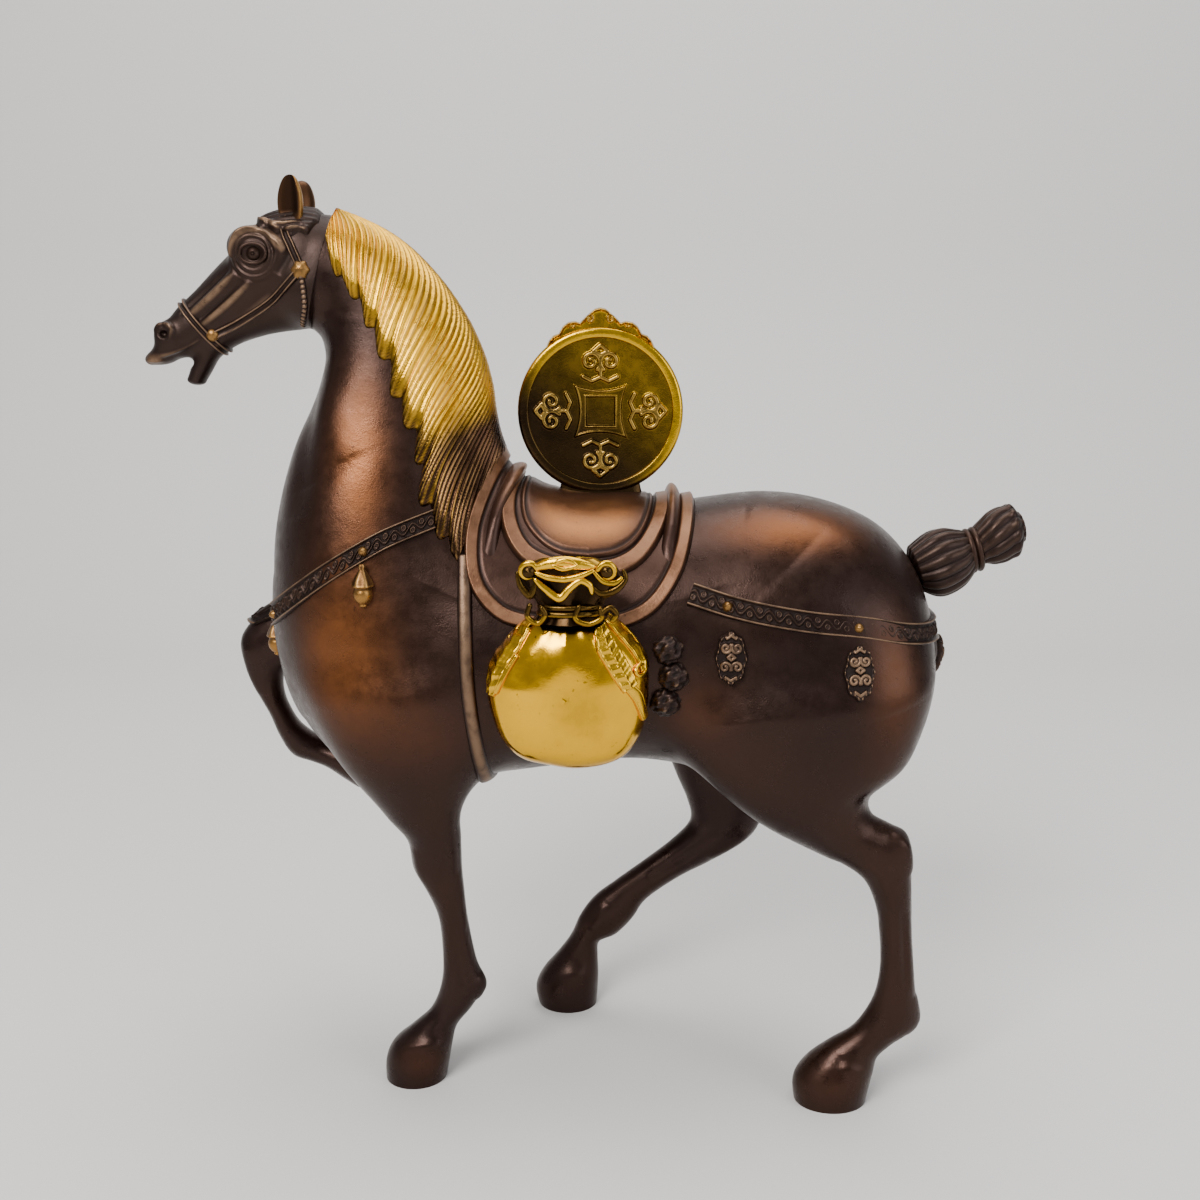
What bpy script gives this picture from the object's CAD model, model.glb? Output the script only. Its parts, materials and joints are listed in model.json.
"""Looks of the bronze horse statue: walking horse, saddle, standing coin, two money bags.

The horse faces -X, its left side is -Y and +Z is up. Shapes are worked out in millimetres
and written in metres. The flesh is the zero level of a smooth distance-like field, sampled
on a grid; whatever lies on it is a surface over two parameters, laid on that field.
"""

import json
import math

import bmesh
import bpy
import numpy as np
import openvdb
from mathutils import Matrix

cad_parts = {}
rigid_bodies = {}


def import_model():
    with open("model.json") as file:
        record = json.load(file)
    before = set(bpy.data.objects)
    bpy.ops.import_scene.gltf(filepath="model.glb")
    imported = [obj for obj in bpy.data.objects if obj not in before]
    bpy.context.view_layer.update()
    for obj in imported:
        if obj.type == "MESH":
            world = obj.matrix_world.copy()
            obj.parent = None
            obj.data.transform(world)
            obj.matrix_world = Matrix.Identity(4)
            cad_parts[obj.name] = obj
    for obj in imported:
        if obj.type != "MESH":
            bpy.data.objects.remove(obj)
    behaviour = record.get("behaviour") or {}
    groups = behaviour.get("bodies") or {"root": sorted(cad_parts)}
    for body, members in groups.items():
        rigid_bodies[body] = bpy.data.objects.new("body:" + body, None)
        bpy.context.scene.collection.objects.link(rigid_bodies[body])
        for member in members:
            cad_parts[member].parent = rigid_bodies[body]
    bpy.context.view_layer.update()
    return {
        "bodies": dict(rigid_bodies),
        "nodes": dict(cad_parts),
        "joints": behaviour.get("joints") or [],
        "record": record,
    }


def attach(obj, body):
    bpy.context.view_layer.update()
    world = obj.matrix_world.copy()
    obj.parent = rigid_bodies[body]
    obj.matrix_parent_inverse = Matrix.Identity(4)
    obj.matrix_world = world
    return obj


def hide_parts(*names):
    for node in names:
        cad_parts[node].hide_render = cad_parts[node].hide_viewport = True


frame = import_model()
MM = 0.001
PI = math.pi
SIDES = (("left", -1), ("right", 1))
EYE_X, EYE_Z = -91.0, 239.4

# ---- stations: crest end x z, belly end x z, place across, half width, pear ----------------------
TRUNK = [
    (97.8, 134, 97.8, 121, 0, 9, 0), (96.6, 144, 96.4, 107, 0, 20, 0), (91, 156, 90, 96, 0, 28.5, 0),
    (81, 165.5, 79, 88, 0, 33.5, 0), (66, 171.5, 64, 85, 0, 36, 0), (50, 173.5, 46, 88, 0, 36.5, 0),
    (34, 172, 29, 93, 0, 35.5, -0.04), (17, 169.5, 12, 95.5, 0, 35.5, -0.08), (1, 168.5, -6, 94, 0, 36, -0.1),
    (-12, 170.5, -25, 91.5, 0, 36, -0.12), (-20, 176, -47, 88.5, 0, 36, -0.16),
    (-24.5, 183, -69, 92.5, 0, 34.5, -0.2), (-27, 189, -84, 108, 0, 32, -0.22),
    (-28.5, 196, -90.5, 131, 0, 29, -0.22), (-29.5, 204, -91, 153, 0, 25.5, -0.2),
    (-32, 213, -89, 169, 0, 22, -0.16), (-36.5, 222.5, -84, 186, 0, 18.5, -0.12),
    (-43.5, 232.5, -77.5, 200, 0, 15.5, -0.08), (-52, 241, -74.2, 210, 0, 13.5, -0.05),
    (-61, 246.5, -75, 216.5, 0, 12.3, 0), (-70, 249.5, -77.5, 219.8, 0, 11.6, 0),
]
HEAD = [
    (-66, 247.5, -75.5, 218.6, 0, 11.2, 0), (-72, 250, -77.8, 219.8, 0, 11.6, 0),
    (-80, 251.5, -80.5, 219.2, 0, 11.8, 0.05),
    (-90, 249, -85.5, 218.6, 0, 11, 0.12), (-97.5, 242, -91, 217.6, 0, 9.4, 0.1),
    (-104, 236, -97.5, 215.6, 0, 7.6, 0.02), (-110, 230, -103.5, 212.8, 0, 6.4, 0),
    (-115.5, 225, -109.3, 212.2, 0, 5.9, 0), (-119.8, 219.4, -115, 211, 0, 5.6, 0),
    (-123, 213.8, -119.5, 209.8, 0, 4.2, 0), (-124.4, 211.2, -123.2, 209.6, 0, 2.2, 0),
]
JAW = [
    (-109, 218, -100, 218, 0, 4.4, 0), (-111.6, 212, -104.4, 211.6, 0, 4.3, 0),
    (-112.6, 208.4, -106.8, 207.6, 0, 3.9, 0), (-113.8, 205.4, -108.6, 204.8, 0, 3.2, 0),
]
LEGS = {
    "fore_left_leg": [
        (-74, 118, -31, 118, -22, 12.5, 0), (-68, 99, -33, 99, -22, 11.5, 0),
        (-58.5, 84, -36.8, 84, -20.8, 8.6, 0),
        (-52.5, 76, -37, 76, -19.8, 7.2, 0), (-51, 67, -37, 67, -19, 6.6, 0),
        (-47.5, 60, -36.6, 60, -18.5, 6, 0),
        (-44.2, 51, -35.8, 51, -18.2, 4.7, 0), (-43.3, 38, -33.6, 38, -17.7, 4.3, 0),
        (-44.2, 29, -31.2, 30, -17.4, 4.9, 0), (-47.4, 21.5, -34.6, 23, -17.2, 4.7, 0),
        (-53, 16.2, -39.4, 16.8, -17.2, 5.2, 0), (-58.6, 11.2, -41, 11.2, -17.2, 7.2, 0),
        (-61, 5.5, -42, 5.5, -17.2, 8.4, 0), (-61, -2, -43.4, -2, -17.2, 8.6, 0)],
    "fore_right_leg": [
        (-60, 141, -58, 104, 20.8, 12, 0), (-77, 140.5, -73, 108, 20.8, 10, 0),
        (-90, 139, -83, 112, 20.8, 8, 0),
        (-100.5, 134.5, -90.5, 116.5, 20.8, 6.9, 0), (-107.8, 126.5, -94.5, 116, 20.8, 6.5, 0),
        (-107.4, 118, -95.8, 112, 20.8, 5.4, 0), (-104.4, 109.6, -95, 106, 20.8, 4.6, 0),
        (-100.4, 101.6, -91.6, 99, 20.8, 4.4, 0), (-97.4, 94, -87.6, 95.4, 20.8, 4.9, 0),
        (-93.6, 88.2, -85.4, 94.2, 20.8, 5, 0), (-88, 86, -82, 92.4, 20.8, 4.6, 0),
        (-83, 84, -76.8, 91.2, 20.8, 5.4, 0), (-77.6, 80.4, -70.6, 90.4, 20.8, 7, 0),
        (-73, 77.4, -66, 88.4, 20.8, 7.4, 0)],
    "hind_left_leg": [
        (26, 112, 92, 120, -24.7, 14.5, 0), (32, 98, 88, 101, -25.5, 14, 0), (45, 85, 78.5, 92, -26, 12, 0),
        (64, 74.8, 79, 86.4, -27.5, 8, 0), (71.5, 71.6, 84.4, 83.4, -28.6, 6.6, 0),
        (77.6, 66.8, 89.4, 79.8, -29, 6.1, 0), (81, 59, 90.6, 66, -29.4, 5.4, 0),
        (82.2, 51.5, 91.2, 53.5, -29.6, 4.8, 0), (82.8, 42, 92.2, 42, -29.9, 4.4, 0),
        (81.8, 33.5, 93.2, 32.5, -29.9, 4.7, 0), (79, 27, 93.8, 23.4, -29.9, 5.2, 0),
        (75, 21.8, 87, 17.6, -29.9, 4.9, 0), (68.6, 17.6, 83, 13.6, -29.9, 5.6, 0),
        (62, 12, 82, 9.4, -29.9, 7.6, 0), (58.8, 6, 81, 5, -29.9, 8.6, 0),
        (59.6, -2, 79.6, -2, -29.9, 8.6, 0)],
    "hind_right_leg": [
        (22, 112, 88, 114, 24.7, 14, 0), (22, 96, 78, 95, 25.5, 13, 0), (26.5, 82, 65, 77, 26, 10, 0),
        (31, 71, 56.6, 67.4, 26.5, 7.6, 0), (32, 64, 51.4, 58.6, 27, 6.4, 0),
        (27, 57.6, 39.6, 50.4, 27.6, 5.4, 0),
        (18.5, 50.6, 28.8, 44.4, 27.8, 4.8, 0), (8, 42.6, 18.2, 36.6, 28, 4.6, 0),
        (1, 37, 13.6, 29.8, 28, 5.1, 0),
        (-3.6, 30.6, 8.4, 24.4, 28, 5.1, 0), (-6.6, 23.8, 2.8, 21.8, 28, 4.7, 0),
        (-11, 17.6, 2.2, 16.6, 28, 5.5, 0),
        (-16, 11.4, 2.4, 10.8, 28, 7.6, 0), (-18.3, 5.4, 2.2, 5.2, 28, 8.5, 0),
        (-16.6, -2, 1.6, -2, 28, 8.5, 0)],
}
TAIL = [
    (91, 156, 95.8, 145, 0, 6.2, 0), (97, 161, 100.6, 143.2, 0, 8.6, 0),
    (101.6, 162.6, 104.4, 143.6, 0, 9, 0),
    (106.2, 162.2, 109, 146.4, 0, 7.4, 0), (109.6, 162, 112.4, 151, 0, 5, 0),
    (111.8, 164.2, 114.8, 152.6, 0, 5.4, 0),
    (114.8, 167.2, 118, 152.6, 0, 6.8, 0), (118.8, 169, 122, 154, 0, 6.6, 0),
    (123, 168, 125.2, 158.2, 0, 4.8, 0),
    (125.2, 164.6, 125.6, 162, 0, 2, 0)]
JOINTS = {"fore_left_leg": 2, "fore_right_leg": 3, "hind_left_leg": 3, "hind_right_leg": 2}


def curve_through(rows, per):
    """Catmull-Rom curve: per steps between each pair of rows, cubic in the step, last row kept."""
    r = np.array(rows, float)
    p = np.vstack([r[:1], r, r[-1:]])
    t = (np.arange(per) / per)[None, :, None]
    a, b, c, d = (p[k : len(r) - 1 + k][:, None, :] for k in range(4))
    out = 0.5 * (2 * b + (c - a) * t + (2 * a - 5 * b + 4 * c - d) * t**2 + (3 * b - a - 3 * c + d) * t**3)
    return np.vstack([out.reshape(-1, r.shape[1]), r[-1:]])


class Tube:
    """An oval tube through stations: each point of the side view belongs to the station line it lies on."""

    def __init__(self, rows, cap=0.6):
        """Stations become a smooth row of centres, half lengths, up directions and outward normals."""
        self.r = curve_through(rows, 6)
        a, b = self.r[:, 0:2], self.r[:, 2:4]
        self.c = (a + b) / 2
        self.h = np.hypot(*(a - b).T) / 2
        self.u = (a - b) / (2 * self.h[:, None])
        self.n = np.stack([-self.u[:, 1], self.u[:, 0]], 1)
        if ((self.c[1] - self.c[0]) * self.n[0]).sum() < 0:
            self.n = -self.n
        self.cap = cap

    def place(self, x, z):
        """Side-view points against their station lines.

        Gives the height along the line, the distance past the tube's end, the half length, the
        place across, the half width, the pear and the station number.
        """
        n, c = self.n, self.c
        d = x[:, None] * n[:, 0] + z[:, None] * n[:, 1] - (c * n).sum(1)
        cross = (d[:, :-1] >= 0) & (d[:, 1:] < 0)
        m = (c[1:] + c[:-1]) / 2
        far = ((x[:, None] - m[:, 0]) ** 2 + (z[:, None] - m[:, 1]) ** 2) / self.h[1:] ** 2
        far = np.where(cross, far, 1e9)
        j = far.argmin(1)
        i = np.arange(len(x))
        ok = cross.any(1)
        gap = d[i, j] - d[i, j + 1]
        t = np.where(ok, d[i, j] / np.where(gap == 0, 1, gap), 0)
        first = (x - c[0, 0]) ** 2 + (z - c[0, 1]) ** 2 < (x - c[-1, 0]) ** 2 + (z - c[-1, 1]) ** 2
        j = np.where(ok, j, np.where(first, 0, len(c) - 2))
        t = np.where(ok, t, np.where(first, 0, 1))
        past = np.where(ok, 0, np.where(first, -d[:, 0], d[:, -1]))
        mix = lambda q: (q[j].T * (1 - t) + q[j + 1].T * t).T
        cc, u, h, r = mix(c), mix(self.u), mix(self.h), mix(self.r)
        up = (x - cc[:, 0]) * u[:, 0] + (z - cc[:, 1]) * u[:, 1]
        return up, np.maximum(past, 0), h, r[:, 4], r[:, 5], r[:, 6], j + t

    def field(self, x, y, z):
        """k0 (k0 - 1) / k1 of the local ellipsoid: about the distance to its skin, negative within."""
        up, past, h, yc, w, pear, _ = (q[:, None] for q in self.place(x, z))
        w = w * (1 + pear * np.clip(up / h, -1, 1))
        e = past / (self.cap * np.minimum(w, h))
        a, b = (y - yc) / w, up / h
        k0 = np.sqrt(a * a + b * b + e * e) + 1e-9
        k1 = np.sqrt((a / w) ** 2 + (b / h) ** 2 + (e / (self.cap * np.minimum(w, h))) ** 2) + 1e-9
        return k0 * (k0 - 1) / k1

    def skin(self, s, angle):
        """Point at station number s and angle from the crest end round to -Y and the belly end."""
        i = np.clip(s, 0, len(self.c) - 1.001)
        j = i.astype(int)
        t = i - j
        mix = lambda q: (q[j].T * (1 - t).T + q[j + 1].T * t.T).T
        c, u, h, r = mix(self.c), mix(self.u), mix(self.h), mix(self.r)
        up, across = np.cos(angle) * h, -np.sin(angle) * r[..., 5] + r[..., 4]
        return np.stack([c[..., 0] + up * u[..., 0], across, c[..., 1] + up * u[..., 1]], -1)


def smin(a, b, k):
    """Smooth union: the smaller of two fields, rounded over a width k where they meet."""
    h = np.clip(0.5 + 0.5 * (b - a) / k, 0, 1)
    return b * (1 - h) + a * h - k * h * (1 - h)


trunk_tube, head_tube, jaw_tube, tail_tube = Tube(TRUNK), Tube(HEAD), Tube(JAW, cap=0.5), Tube(TAIL)
leg_tubes = {name: Tube(rows) for name, rows in LEGS.items()}
leg_reach = {"fore_left_leg": 11, "fore_right_leg": 9, "hind_left_leg": 13, "hind_right_leg": 12}


class Block:
    """A field sampled on a grid over a box, read back by blending the eight nearest samples."""

    def __init__(self, low, high, step, rule):
        """Samples the rule at every grid place of the box from low to high."""
        self.low, self.step = np.array(low, float), step
        n = np.ceil((np.array(high) - low) / step).astype(int) + 1
        x, y, z = (self.low[k] + np.arange(n[k]) * step for k in range(3))
        gx, gz = np.meshgrid(x, z, indexing="ij")
        f = rule(gx.ravel(), y[None, :], gz.ravel())
        self.f = f.reshape(n[0], n[2], n[1]).transpose(0, 2, 1).astype(np.float32).copy()

    def __call__(self, p):
        """Field value at points: the eight samples round each, weighted by nearness."""
        q = np.clip((p - self.low) / self.step, 0, np.array(self.f.shape) - 1.001)
        i = q.astype(int)
        t = q - i
        out = 0
        for k in range(8):
            o = np.array([k & 1, k >> 1 & 1, k >> 2 & 1])
            w = np.where(o, t, 1 - t).prod(-1)
            j = i + o
            out = out + w * self.f[j[..., 0], j[..., 1], j[..., 2]]
        return out

    def slope(self, p, e=None):
        """Unit outward direction: central differences of the field."""
        e = e or self.step
        g = np.stack([self(p + o) - self(p - o) for o in np.eye(3) * e], -1)
        return g / (np.linalg.norm(g, axis=-1, keepdims=True) + 1e-9)

    def settle(self, p, level=0.0, rounds=3):
        """Moves points along the field's slope onto its level."""
        for _ in range(rounds):
            g = np.stack([self(p + o) - self(p - o) for o in np.eye(3) * self.step], -1) / (2 * self.step)
            move = (self(p) - level) / ((g * g).sum(-1) + 1e-6)
            p = p - g * np.clip(move, -self.step, self.step)[..., None]
        return p

    def shell(self):
        """Closed quad surface at the field's zero level."""
        grid = openvdb.FloatGrid(10.0)
        grid.copyFromArray(self.f)
        pts, quads = grid.convertToQuads(isovalue=0.0)
        p = self.settle(np.array(pts, float) * self.step + self.low)
        return p, np.array(quads, np.int64)


def horse_rule(x, y, z):
    """Smooth union of trunk and neck, the four legs and the start of the head."""
    f = trunk_tube.field(x, y, z)
    for name, tube in leg_tubes.items():
        f = smin(f, tube.field(x, y, z), leg_reach[name])
    return smin(f, head_tube.field(x, y, z), 2.0)


def bell(x, middle, width):
    """Bell curve: one at the middle, falling to a third at a width to either side."""
    return np.exp(-(((x - middle) / width) ** 2))


def gauss(p, centre, radii):
    """Bell-shaped weight about a centre, one radius along each axis."""
    return np.exp(-(((p - np.array(centre)) / np.array(radii)) ** 2).sum(-1))


def near_path(p, path):
    """Distance from points to a smooth path, and how far along it the nearest place is."""
    q = curve_through(path, 8)
    best, at = np.full(p.shape[:-1], 1e9), np.zeros(p.shape[:-1])
    for k in range(len(q) - 1):
        d = q[k + 1] - q[k]
        t = np.clip(((p - q[k]) @ d) / (d @ d + 1e-12), 0, 1)
        r = np.linalg.norm(p - q[k] - t[..., None] * d, axis=-1)
        closer = r < best
        best, at = np.where(closer, r, best), np.where(closer, (k + t) / (len(q) - 1), at)
    return best, at


def stroke(p, path, radius, height):
    """Height of a clay stroke: a bell profile across the path, fading to its ends."""
    low, high = np.min(path, 0) - 3 * radius, np.max(path, 0) + 3 * radius
    pick = ((p > low) & (p < high)).all(-1)
    out = np.zeros(p.shape[:-1])
    if pick.any():
        r, at = near_path(p[pick], path)
        fade = np.sin(PI * np.clip(at, 0, 1)) ** 0.5
        out[pick] = height * bell(r, 0, radius) * fade
    return out


# ---- making mesh objects -------------------------------------------------------------------------
def mesh_object(name, p, faces, normals=None, **attributes):
    """A smooth mesh object at the origin from points in millimetres and faces."""
    mesh = bpy.data.meshes.new(name)
    faces = faces if isinstance(faces, list) else faces.tolist()
    mesh.from_pydata((np.asarray(p) * MM).tolist(), [], faces)
    mesh.update()
    for key, values in attributes.items():
        layer = mesh.attributes.new(key, "FLOAT", "POINT")
        layer.data.foreach_set("value", np.asarray(values, np.float32).ravel())
    mesh.polygons.foreach_set("use_smooth", np.full(len(mesh.polygons), True))
    if normals is not None:
        mesh.normals_split_custom_set_from_vertices(np.asarray(normals).tolist())
    made = bpy.data.objects.new(name, mesh)
    bpy.context.scene.collection.objects.link(made)
    return made


def grid_faces(nu, nv, wrap_u=False, wrap_v=False, start=0):
    """Quads between neighbours of a grid of points, joined round where it wraps."""
    i = np.arange(nu if wrap_u else nu - 1)[:, None]
    j = np.arange(nv if wrap_v else nv - 1)[None, :]
    a, b = i * nv + j, (i + 1) % nu * nv + j
    c, d = (i + 1) % nu * nv + (j + 1) % nv, i * nv + (j + 1) % nv
    return np.stack([a, b, c, d], -1).reshape(-1, 4) + start


def outward(p, faces):
    """Turns the faces over if the closed surface they make has a negative volume."""
    f = np.asarray(faces)
    a, b, c = (p[f[:, k]] for k in (0, 1, 2))
    v = np.einsum("ij,ij->i", a, np.cross(b, c)).sum()
    if f.shape[1] == 4:
        d = p[f[:, 3]]
        v += np.einsum("ij,ij->i", a, np.cross(c, d)).sum()
    return f if v > 0 else f[:, ::-1]


def slab(p, n, height, sink, wrap_u=False):
    """A closed layer over a surface grid: raised by height along the normals, its underside sunk."""
    nu, nv = p.shape[:2]
    top = (p + n * height[..., None]).reshape(-1, 3)
    low = (p - n * sink).reshape(-1, 3)
    k = nu * nv
    faces = [grid_faces(nu, nv, wrap_u), grid_faces(nu, nv, wrap_u, start=k)[:, ::-1]]
    i = np.arange(nu if wrap_u else nu - 1)
    for j, flip in ((0, 1), (nv - 1, 0)):
        a, b = i * nv + j, (i + 1) % nu * nv + j
        q = np.stack([a, b, b + k, a + k], -1)
        faces.append(q[:, ::-1] if flip else q)
    if not wrap_u:
        j = np.arange(nv - 1)
        for i0, flip in ((0, 0), (nu - 1, 1)):
            a, b = i0 * nv + j, i0 * nv + j + 1
            q = np.stack([a, b, b + k, a + k], -1)
            faces.append(q[:, ::-1] if flip else q)
    pts = np.vstack([top, low])
    return pts, outward(pts, np.vstack(faces))


def closed_loft(rings):
    """Rings joined one after another, the first and last drawn together to a pole."""
    n, m = rings.shape[:2]
    pts = np.vstack([rings.reshape(-1, 3), rings[0].mean(0), rings[-1].mean(0)])
    faces = [tuple(q) for q in grid_faces(n, m, False, True).tolist()]
    i = np.arange(m)
    faces += [(n * m, int(b), int(a)) for a, b in zip(i, (i + 1) % m)]
    faces += [(n * m + 1, int(a) + (n - 1) * m, int(b) + (n - 1) * m) for a, b in zip(i, (i + 1) % m)]
    c = pts.mean(0)
    q = np.array(faces[: (n - 1) * m])
    a, b, d = pts[q[:, 0]] - c, pts[q[:, 1]] - c, pts[q[:, 2]] - c
    if np.einsum("ij,ij->i", a, np.cross(b, d)).sum() < 0:
        faces = [f[::-1] for f in faces]
    return pts, faces


def sweep(path, radius, sides=12, squash=1.0, facing=(0, -1, 0)):
    """A round rod along a path, radius given at each place, flattened along facing, ends domed."""
    q = np.asarray(path, float)
    r = np.broadcast_to(radius, len(q)).astype(float)
    t = np.gradient(q, axis=0)
    t /= np.linalg.norm(t, axis=1, keepdims=True) + 1e-12
    f = np.broadcast_to(np.array(facing, float), q.shape)
    b = f - (f * t).sum(1, keepdims=True) * t
    b /= np.linalg.norm(b, axis=1, keepdims=True) + 1e-12
    s = np.cross(t, b)
    dome = np.sin(np.linspace(0.12, 1, 4) * PI / 2)
    back = np.cos(np.linspace(0.12, 1, 4) * PI / 2)
    q = np.vstack([q[0] - t[0] * (back * r[0])[:, None], q[1:-1],
                   (q[-1] + t[-1] * (back * r[-1])[:, None])[::-1]])
    r = np.concatenate([dome * r[0], r[1:-1], (dome * r[-1])[::-1]])
    b = np.vstack([np.repeat(b[:1], 4, 0), b[1:-1], np.repeat(b[-1:], 4, 0)])
    s = np.vstack([np.repeat(s[:1], 4, 0), s[1:-1], np.repeat(s[-1:], 4, 0)])
    a = np.arange(sides) * 2 * PI / sides
    ring = np.cos(a)[None, :, None] * s[:, None] + np.sin(a)[None, :, None] * b[:, None] * squash
    return closed_loft(q[:, None] + ring * r[:, None, None])


def turned(profile, axis_point, axis=(0, 0, 1), sides=48):
    """A profile of (radius, height) turned about an axis; its ends lie on the axis."""
    pr = np.asarray(profile, float)
    ax = np.array(axis, float) / np.linalg.norm(axis)
    e1 = np.cross(ax, (0.3, 0.5, 0.8))
    e1 /= np.linalg.norm(e1)
    e2 = np.cross(ax, e1)
    a = np.arange(sides) * 2 * PI / sides
    ring = np.cos(a)[:, None] * e1 + np.sin(a)[:, None] * e2
    rings = np.array(axis_point) + pr[:, 1][:, None, None] * ax + pr[:, 0][:, None, None] * ring[None]
    return closed_loft(rings)


def merged(parts):
    """Several closed surfaces as one list of points and faces."""
    pts, faces, k = [], [], 0
    for p, f in parts:
        pts.append(p)
        faces += [tuple(int(i) + k for i in q) for q in (f.tolist() if isinstance(f, np.ndarray) else f)]
        k += len(p)
    return np.vstack(pts), faces


# ---- the flesh fields ----------------------------------------------------------------------------
STEP = 0.8
horse = Block((-114, -46, -2.4), (104, 46, 258), STEP, horse_rule)


def head_rule(x, y, z):
    """The head with its hanging jaw, cheek discs, lips, open mouth, eye sockets and nostrils."""
    f = smin(head_tube.field(x, y, z), jaw_tube.field(x, y, z), 2.5)
    f = smin(f, trunk_tube.field(x, y, z), 2.0)
    x, z = x[:, None], z[:, None]
    ay = np.abs(y)
    blob = lambda cx, cy, cz, rx, ry, rz: (
        np.sqrt(((x - cx) / rx) ** 2 + ((ay - cy) / ry) ** 2 + ((z - cz) / rz) ** 2) - 1) * min(rx, ry, rz)
    f = smin(f, blob(-76, 4.5, 230, 9.5, 8, 9.5), 2.5)
    f = smin(f, blob(-92.5, 7.0, 241.4, 6.4, 3.6, 5.6), 2.5)
    f = smin(f, blob(-117.6, 3.2, 217.6, 3.9, 2.8, 4.0), 1.6)
    f = smin(f, blob(-121.5, 0, 211.4, 3.4, 3.6, 1.6), 1.5)
    f = -smin(-f, blob(-118.2, 6.6, 218.0, 1.5, 2.4, 1.15), 0.5)
    f = -smin(-f, blob(EYE_X, 12.9, EYE_Z, 3.8, 3.4, 3.7), 0.8)
    f = -smin(-f, blob(-113.8, 0, 210.0, 2.6, 9, 1.2), 0.8)
    return f


HEAD_STEP = 0.38
skull = Block((-127, -15, 200), (-62, 15, 256), HEAD_STEP, head_rule)


def upright(normal):
    """A side-view direction as a unit direction in space."""
    n = np.array([normal[0], 0, normal[1]], float)
    return n / np.linalg.norm(n)


def plane_cut(p, point, normal):
    """Signed distance of points past a plane of the side view."""
    return (p - np.array([point[0], 0, point[1]])) @ upright(normal)


def parted(points, faces, rules):
    """Splits a shell by rules: each takes points and gives which belong; a cut runs along its plane.

    Every rule is (name, plane point, plane normal, where): faces with all corners past the
    plane and inside the place go to that name, after the shell is cut along the plane there.
    """
    mesh = bpy.data.meshes.new("whole")
    mesh.from_pydata(points.tolist(), [], faces.tolist())
    bm = bmesh.new()
    bm.from_mesh(mesh)
    bpy.data.meshes.remove(mesh)
    for _, point, normal, where in rules:
        co = np.array([f.calc_center_median()[:] for f in bm.faces])
        near = where(co) & (np.abs(plane_cut(co, point, normal)) < 4)
        bm.faces.ensure_lookup_table()
        pick = [bm.faces[int(i)] for i in np.nonzero(near)[0]]
        edges = {e for f in pick for e in f.edges}
        verts = {v for f in pick for v in f.verts}
        bmesh.ops.bisect_plane(
            bm, geom=list(verts) + list(edges) + pick, dist=1e-5,
            plane_co=(point[0], 0, point[1]), plane_no=tuple(upright(normal)))
    bm.verts.index_update()
    p = np.array([v.co[:] for v in bm.verts])
    polys = [[v.index for v in f.verts] for f in bm.faces]
    co = np.array([p[q].mean(0) for q in polys])
    owner = np.zeros(len(polys), int)
    for k, (_, point, normal, where) in enumerate(rules, 1):
        owner[where(co) & (plane_cut(co, point, normal) > 0)] = k
    bm.free()
    out = {}
    for k, name in enumerate(["rest"] + [r[0] for r in rules]):
        mine = [polys[i] for i in np.nonzero(owner == k)[0]]
        used = np.unique(np.concatenate([np.array(q) for q in mine]))
        new = np.full(len(p), -1)
        new[used] = np.arange(len(used))
        out[name] = (p[used], [tuple(int(new[i]) for i in q) for q in mine])
    return out


def capped(p, faces):
    """Closes every open edge loop of a surface with a fan about its middle."""
    count = {}
    for q in faces:
        for a, b in zip(q, q[1:] + q[:1]):
            count[(a, b)] = count.get((a, b), 0) + 1
    nxt = {b: a for (a, b) in count if (b, a) not in count}
    p, faces, extra = list(map(tuple, p)), list(faces), []
    while nxt:
        start = next(iter(nxt))
        loop, at = [start], nxt.pop(start)
        while at != start and at in nxt:
            loop.append(at)
            at = nxt.pop(at)
        if len(loop) > 2:
            extra.append(len(p))
            p.append(tuple(np.mean([p[i] for i in loop], 0)))
            faces += [(a, b, extra[-1]) for a, b in zip(loop, loop[1:] + loop[:1])]
    return np.array(p), faces


# Clay strokes over the body: path, radius, height. Left ones are mirrored where both sides show.
BODY_STROKES = [
    ([(-74, -20, 178), (-66, -27, 150), (-60, -31, 128), (-52, -28, 106)], 9, 1.0),
    ([(-40, -30, 150), (-50, -34, 128), (-56, -30, 104)], 8, -0.8),
    ([(-80, -9, 206), (-78, -14, 186), (-78, -20, 168)], 5, -0.9),
    ([(-71, -12, 224), (-73, -16, 204), (-66, -21, 184)], 6, 0.8),
    ([(58, -33, 160), (74, -34, 140), (80, -31, 118)], 13, 1.3),
    ([(40, -35, 112), (46, -36, 100), (58, -34, 88)], 8, -1.0),
    ([(30, -35, 150), (36, -36, 132), (40, -35, 116)], 9, -0.8),
    ([(78, -22, 160), (62, -22, 170), (44, -20, 174)], 10, 0.9),
    ([(-84, -6, 150), (-86, -8, 130), (-80, -12, 110)], 8, 1.0),
]
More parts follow.
